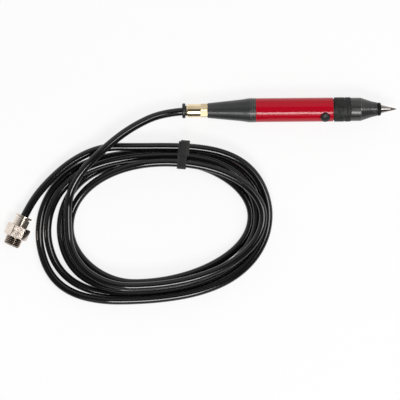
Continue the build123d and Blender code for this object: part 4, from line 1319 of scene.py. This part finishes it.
# %% [markdown]
# ### Moulded black and rubber
# The release ring and the button are moulded in black plastic with a fine grain from
# the mould. The ring on the nose is softer and duller. One plain black would do for
# their colour, but grain and dullness are what tell the two apart, so each has its own.

# %% Moulded black and rubber
moulded = make_finish(
    "moulded_black", {"Metallic": 0.0},
    colours=((30, 30, 30), (21, 21, 21), 240.0), marks=(0.34, 0.46, 240.0),
    relief=(grain, 5000.0, 0.008), bare=(52, 52, 52), rub=0.6,
)
soft_black = make_finish(
    "soft_rubber", {"Metallic": 0.0, "Specular IOR Level": 0.2},
    colours=((15, 15, 15), (9, 9, 9), 260.0), marks=(0.5, 0.66, 260.0),
    relief=(grain, 3000.0, 0.015), bare=(30, 30, 30), rub=0.5,
)
give(moulded, release, button)
give(soft_black, rubber)
print(moulded.name, soft_black.name)

# %% [markdown]
# ### Hose
# The hose is black plastic tube with a gloss. The die leaves faint lines along it.
# Object coordinates would draw them straight across the bends, so they follow the
# curve's own UV map. The scuffs from winding lie anywhere, so they can use the object's.

# %% Hose
DIE_LINES = (60.0, 30.0, 1.0)

tube_black, tree, shader, place = start_finish("hose_black", {"Metallic": 0.0, "Specular IOR Level": 0.5})
own_map = add_node(tree, "ShaderNodeTexCoord").outputs["UV"]
die_lines = add_node(tree, "ShaderNodeMapping", {"Vector": own_map, "Scale": DIE_LINES}).outputs[0]
tree.links.new(clouds_of(tree, place, (16, 16, 17), (9, 9, 10), 60.0), shader["Base Color"])
dull_it(tree, shader, place, 0.07, 0.13, 90.0)
bump_it(tree, shader, noise(tree, die_lines, 1.0), 0.004)
give(tube_black, hose)
print(tube_black.name)

# %% [markdown]
# ### Strap
# Hook and loop tape is a woven ribbon with a nap. Two sets of waves make the weave,
# a noise ruffles it, and the woven borders along both sides are a little lighter. The
# pattern is turned to the strap's own direction with a Mapping node.

# %% Strap
BORDER_START, BORDER_FULL = STRAP_WIDTH / 2 - 1.1, STRAP_WIDTH / 2 - 0.8
WEAVE = (("X", 520.0), ("Y", 420.0))
RUFFLE_SCALE, RUFFLE_SHARE = 2600.0, 2.0

tape, tree, shader, place = start_finish(
    "strap_tape", {"Metallic": 0.0, "Roughness": 0.9, "Sheen Weight": 0.12, "Sheen Roughness": 0.6}
)
heading = strap_way.to_2d().angle_signed(Vector((1, 0)))
along_strap = add_node(
    tree, "ShaderNodeMapping", {"Vector": place, "Location": strap_middle, "Rotation": (0, 0, heading)},
    vector_type="TEXTURE",
).outputs[0]
ribbon = add_node(tree, "ShaderNodeSeparateXYZ", {"Vector": along_strap}).outputs
from_middle = calculate(tree, "ABSOLUTE", ribbon["X"])
border = spread(tree, from_middle, BORDER_START * MM, BORDER_FULL * MM)
nap = clouds_of(tree, place, (27, 27, 27), (15, 15, 15), 900.0)
tree.links.new(mix_colours(tree, border, nap, srgb(38, 38, 38)), shader["Base Color"])
threads = []
for way, scale in WEAVE:
    waves = {"Vector": along_strap, "Scale": scale}
    threads.append(add_node(tree, "ShaderNodeTexWave", waves, bands_direction=way).outputs["Fac"])
weave = calculate(tree, "MULTIPLY", *threads)
ruffle = calculate(tree, "MULTIPLY", noise(tree, place, RUFFLE_SCALE), RUFFLE_SHARE)
bump_it(tree, shader, calculate(tree, "ADD", weave, ruffle), 0.12)
give(tape, strap)
print(tape.name, "heading", round(heading, 3))

# %% [markdown]
# ### Needle and the pieces inside
# The needle is bright ground steel with rings from the grinding wheel. Its hard point
# is darker and warmer. The pieces inside, apart from the two springs, keep their CAD
# shapes, because little of them shows. They get the metal or rubber of their slot in
# the record.

# %% Needle
ground = make_finish(
    "ground_steel", {"Metallic": 1.0},
    colours=((168, 162, 157), (142, 136, 131), 900.0), marks=(0.06, 0.14, 900.0),
    relief=(lathe_rings, 3600.0, 0.004),
)
hard_metal = make_finish(
    "hard_metal", {"Metallic": 1.0},
    colours=((112, 101, 93), (84, 74, 67), 700.0), marks=(0.2, 0.34, 500.0),
    relief=(lathe_rings, 5000.0, 0.003),
)
give(ground, shank, needle_spring, valve_spring)
give(hard_metal, tip)
print(ground.name, hard_metal.name)

# %% Pieces inside
core_metal = make_finish(
    "bare_aluminium", {"Metallic": 1.0},
    colours=((196, 197, 199), (172, 173, 175), 200.0), marks=(0.28, 0.42, 200.0),
    relief=(lathe_rings, 1600.0, 0.006),
)
bronze = make_finish(
    "bearing_bronze", {"Metallic": 1.0},
    colours=((190, 140, 86), (158, 110, 64), 400.0), marks=(0.3, 0.5, 400.0),
    relief=(grain, 5000.0, 0.02),
)
by_slot = {
    "core_metal": core_metal, "bronze": bronze, "steel": ground, "seal_rubber": soft_black,
    "hard_tip": hard_metal, "dark_metal": dark, "knurled_metal": blackened, "black_plastic": moulded,
    "brass": brass, "nickel": nickel, "red_sleeve": red, "hose": tube_black, "strap": tape,
}
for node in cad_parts.values():
    slot = node.data.materials[0].name.split(".")[0]
    give(by_slot[slot], node)
print(len(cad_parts), "CAD nodes finished")
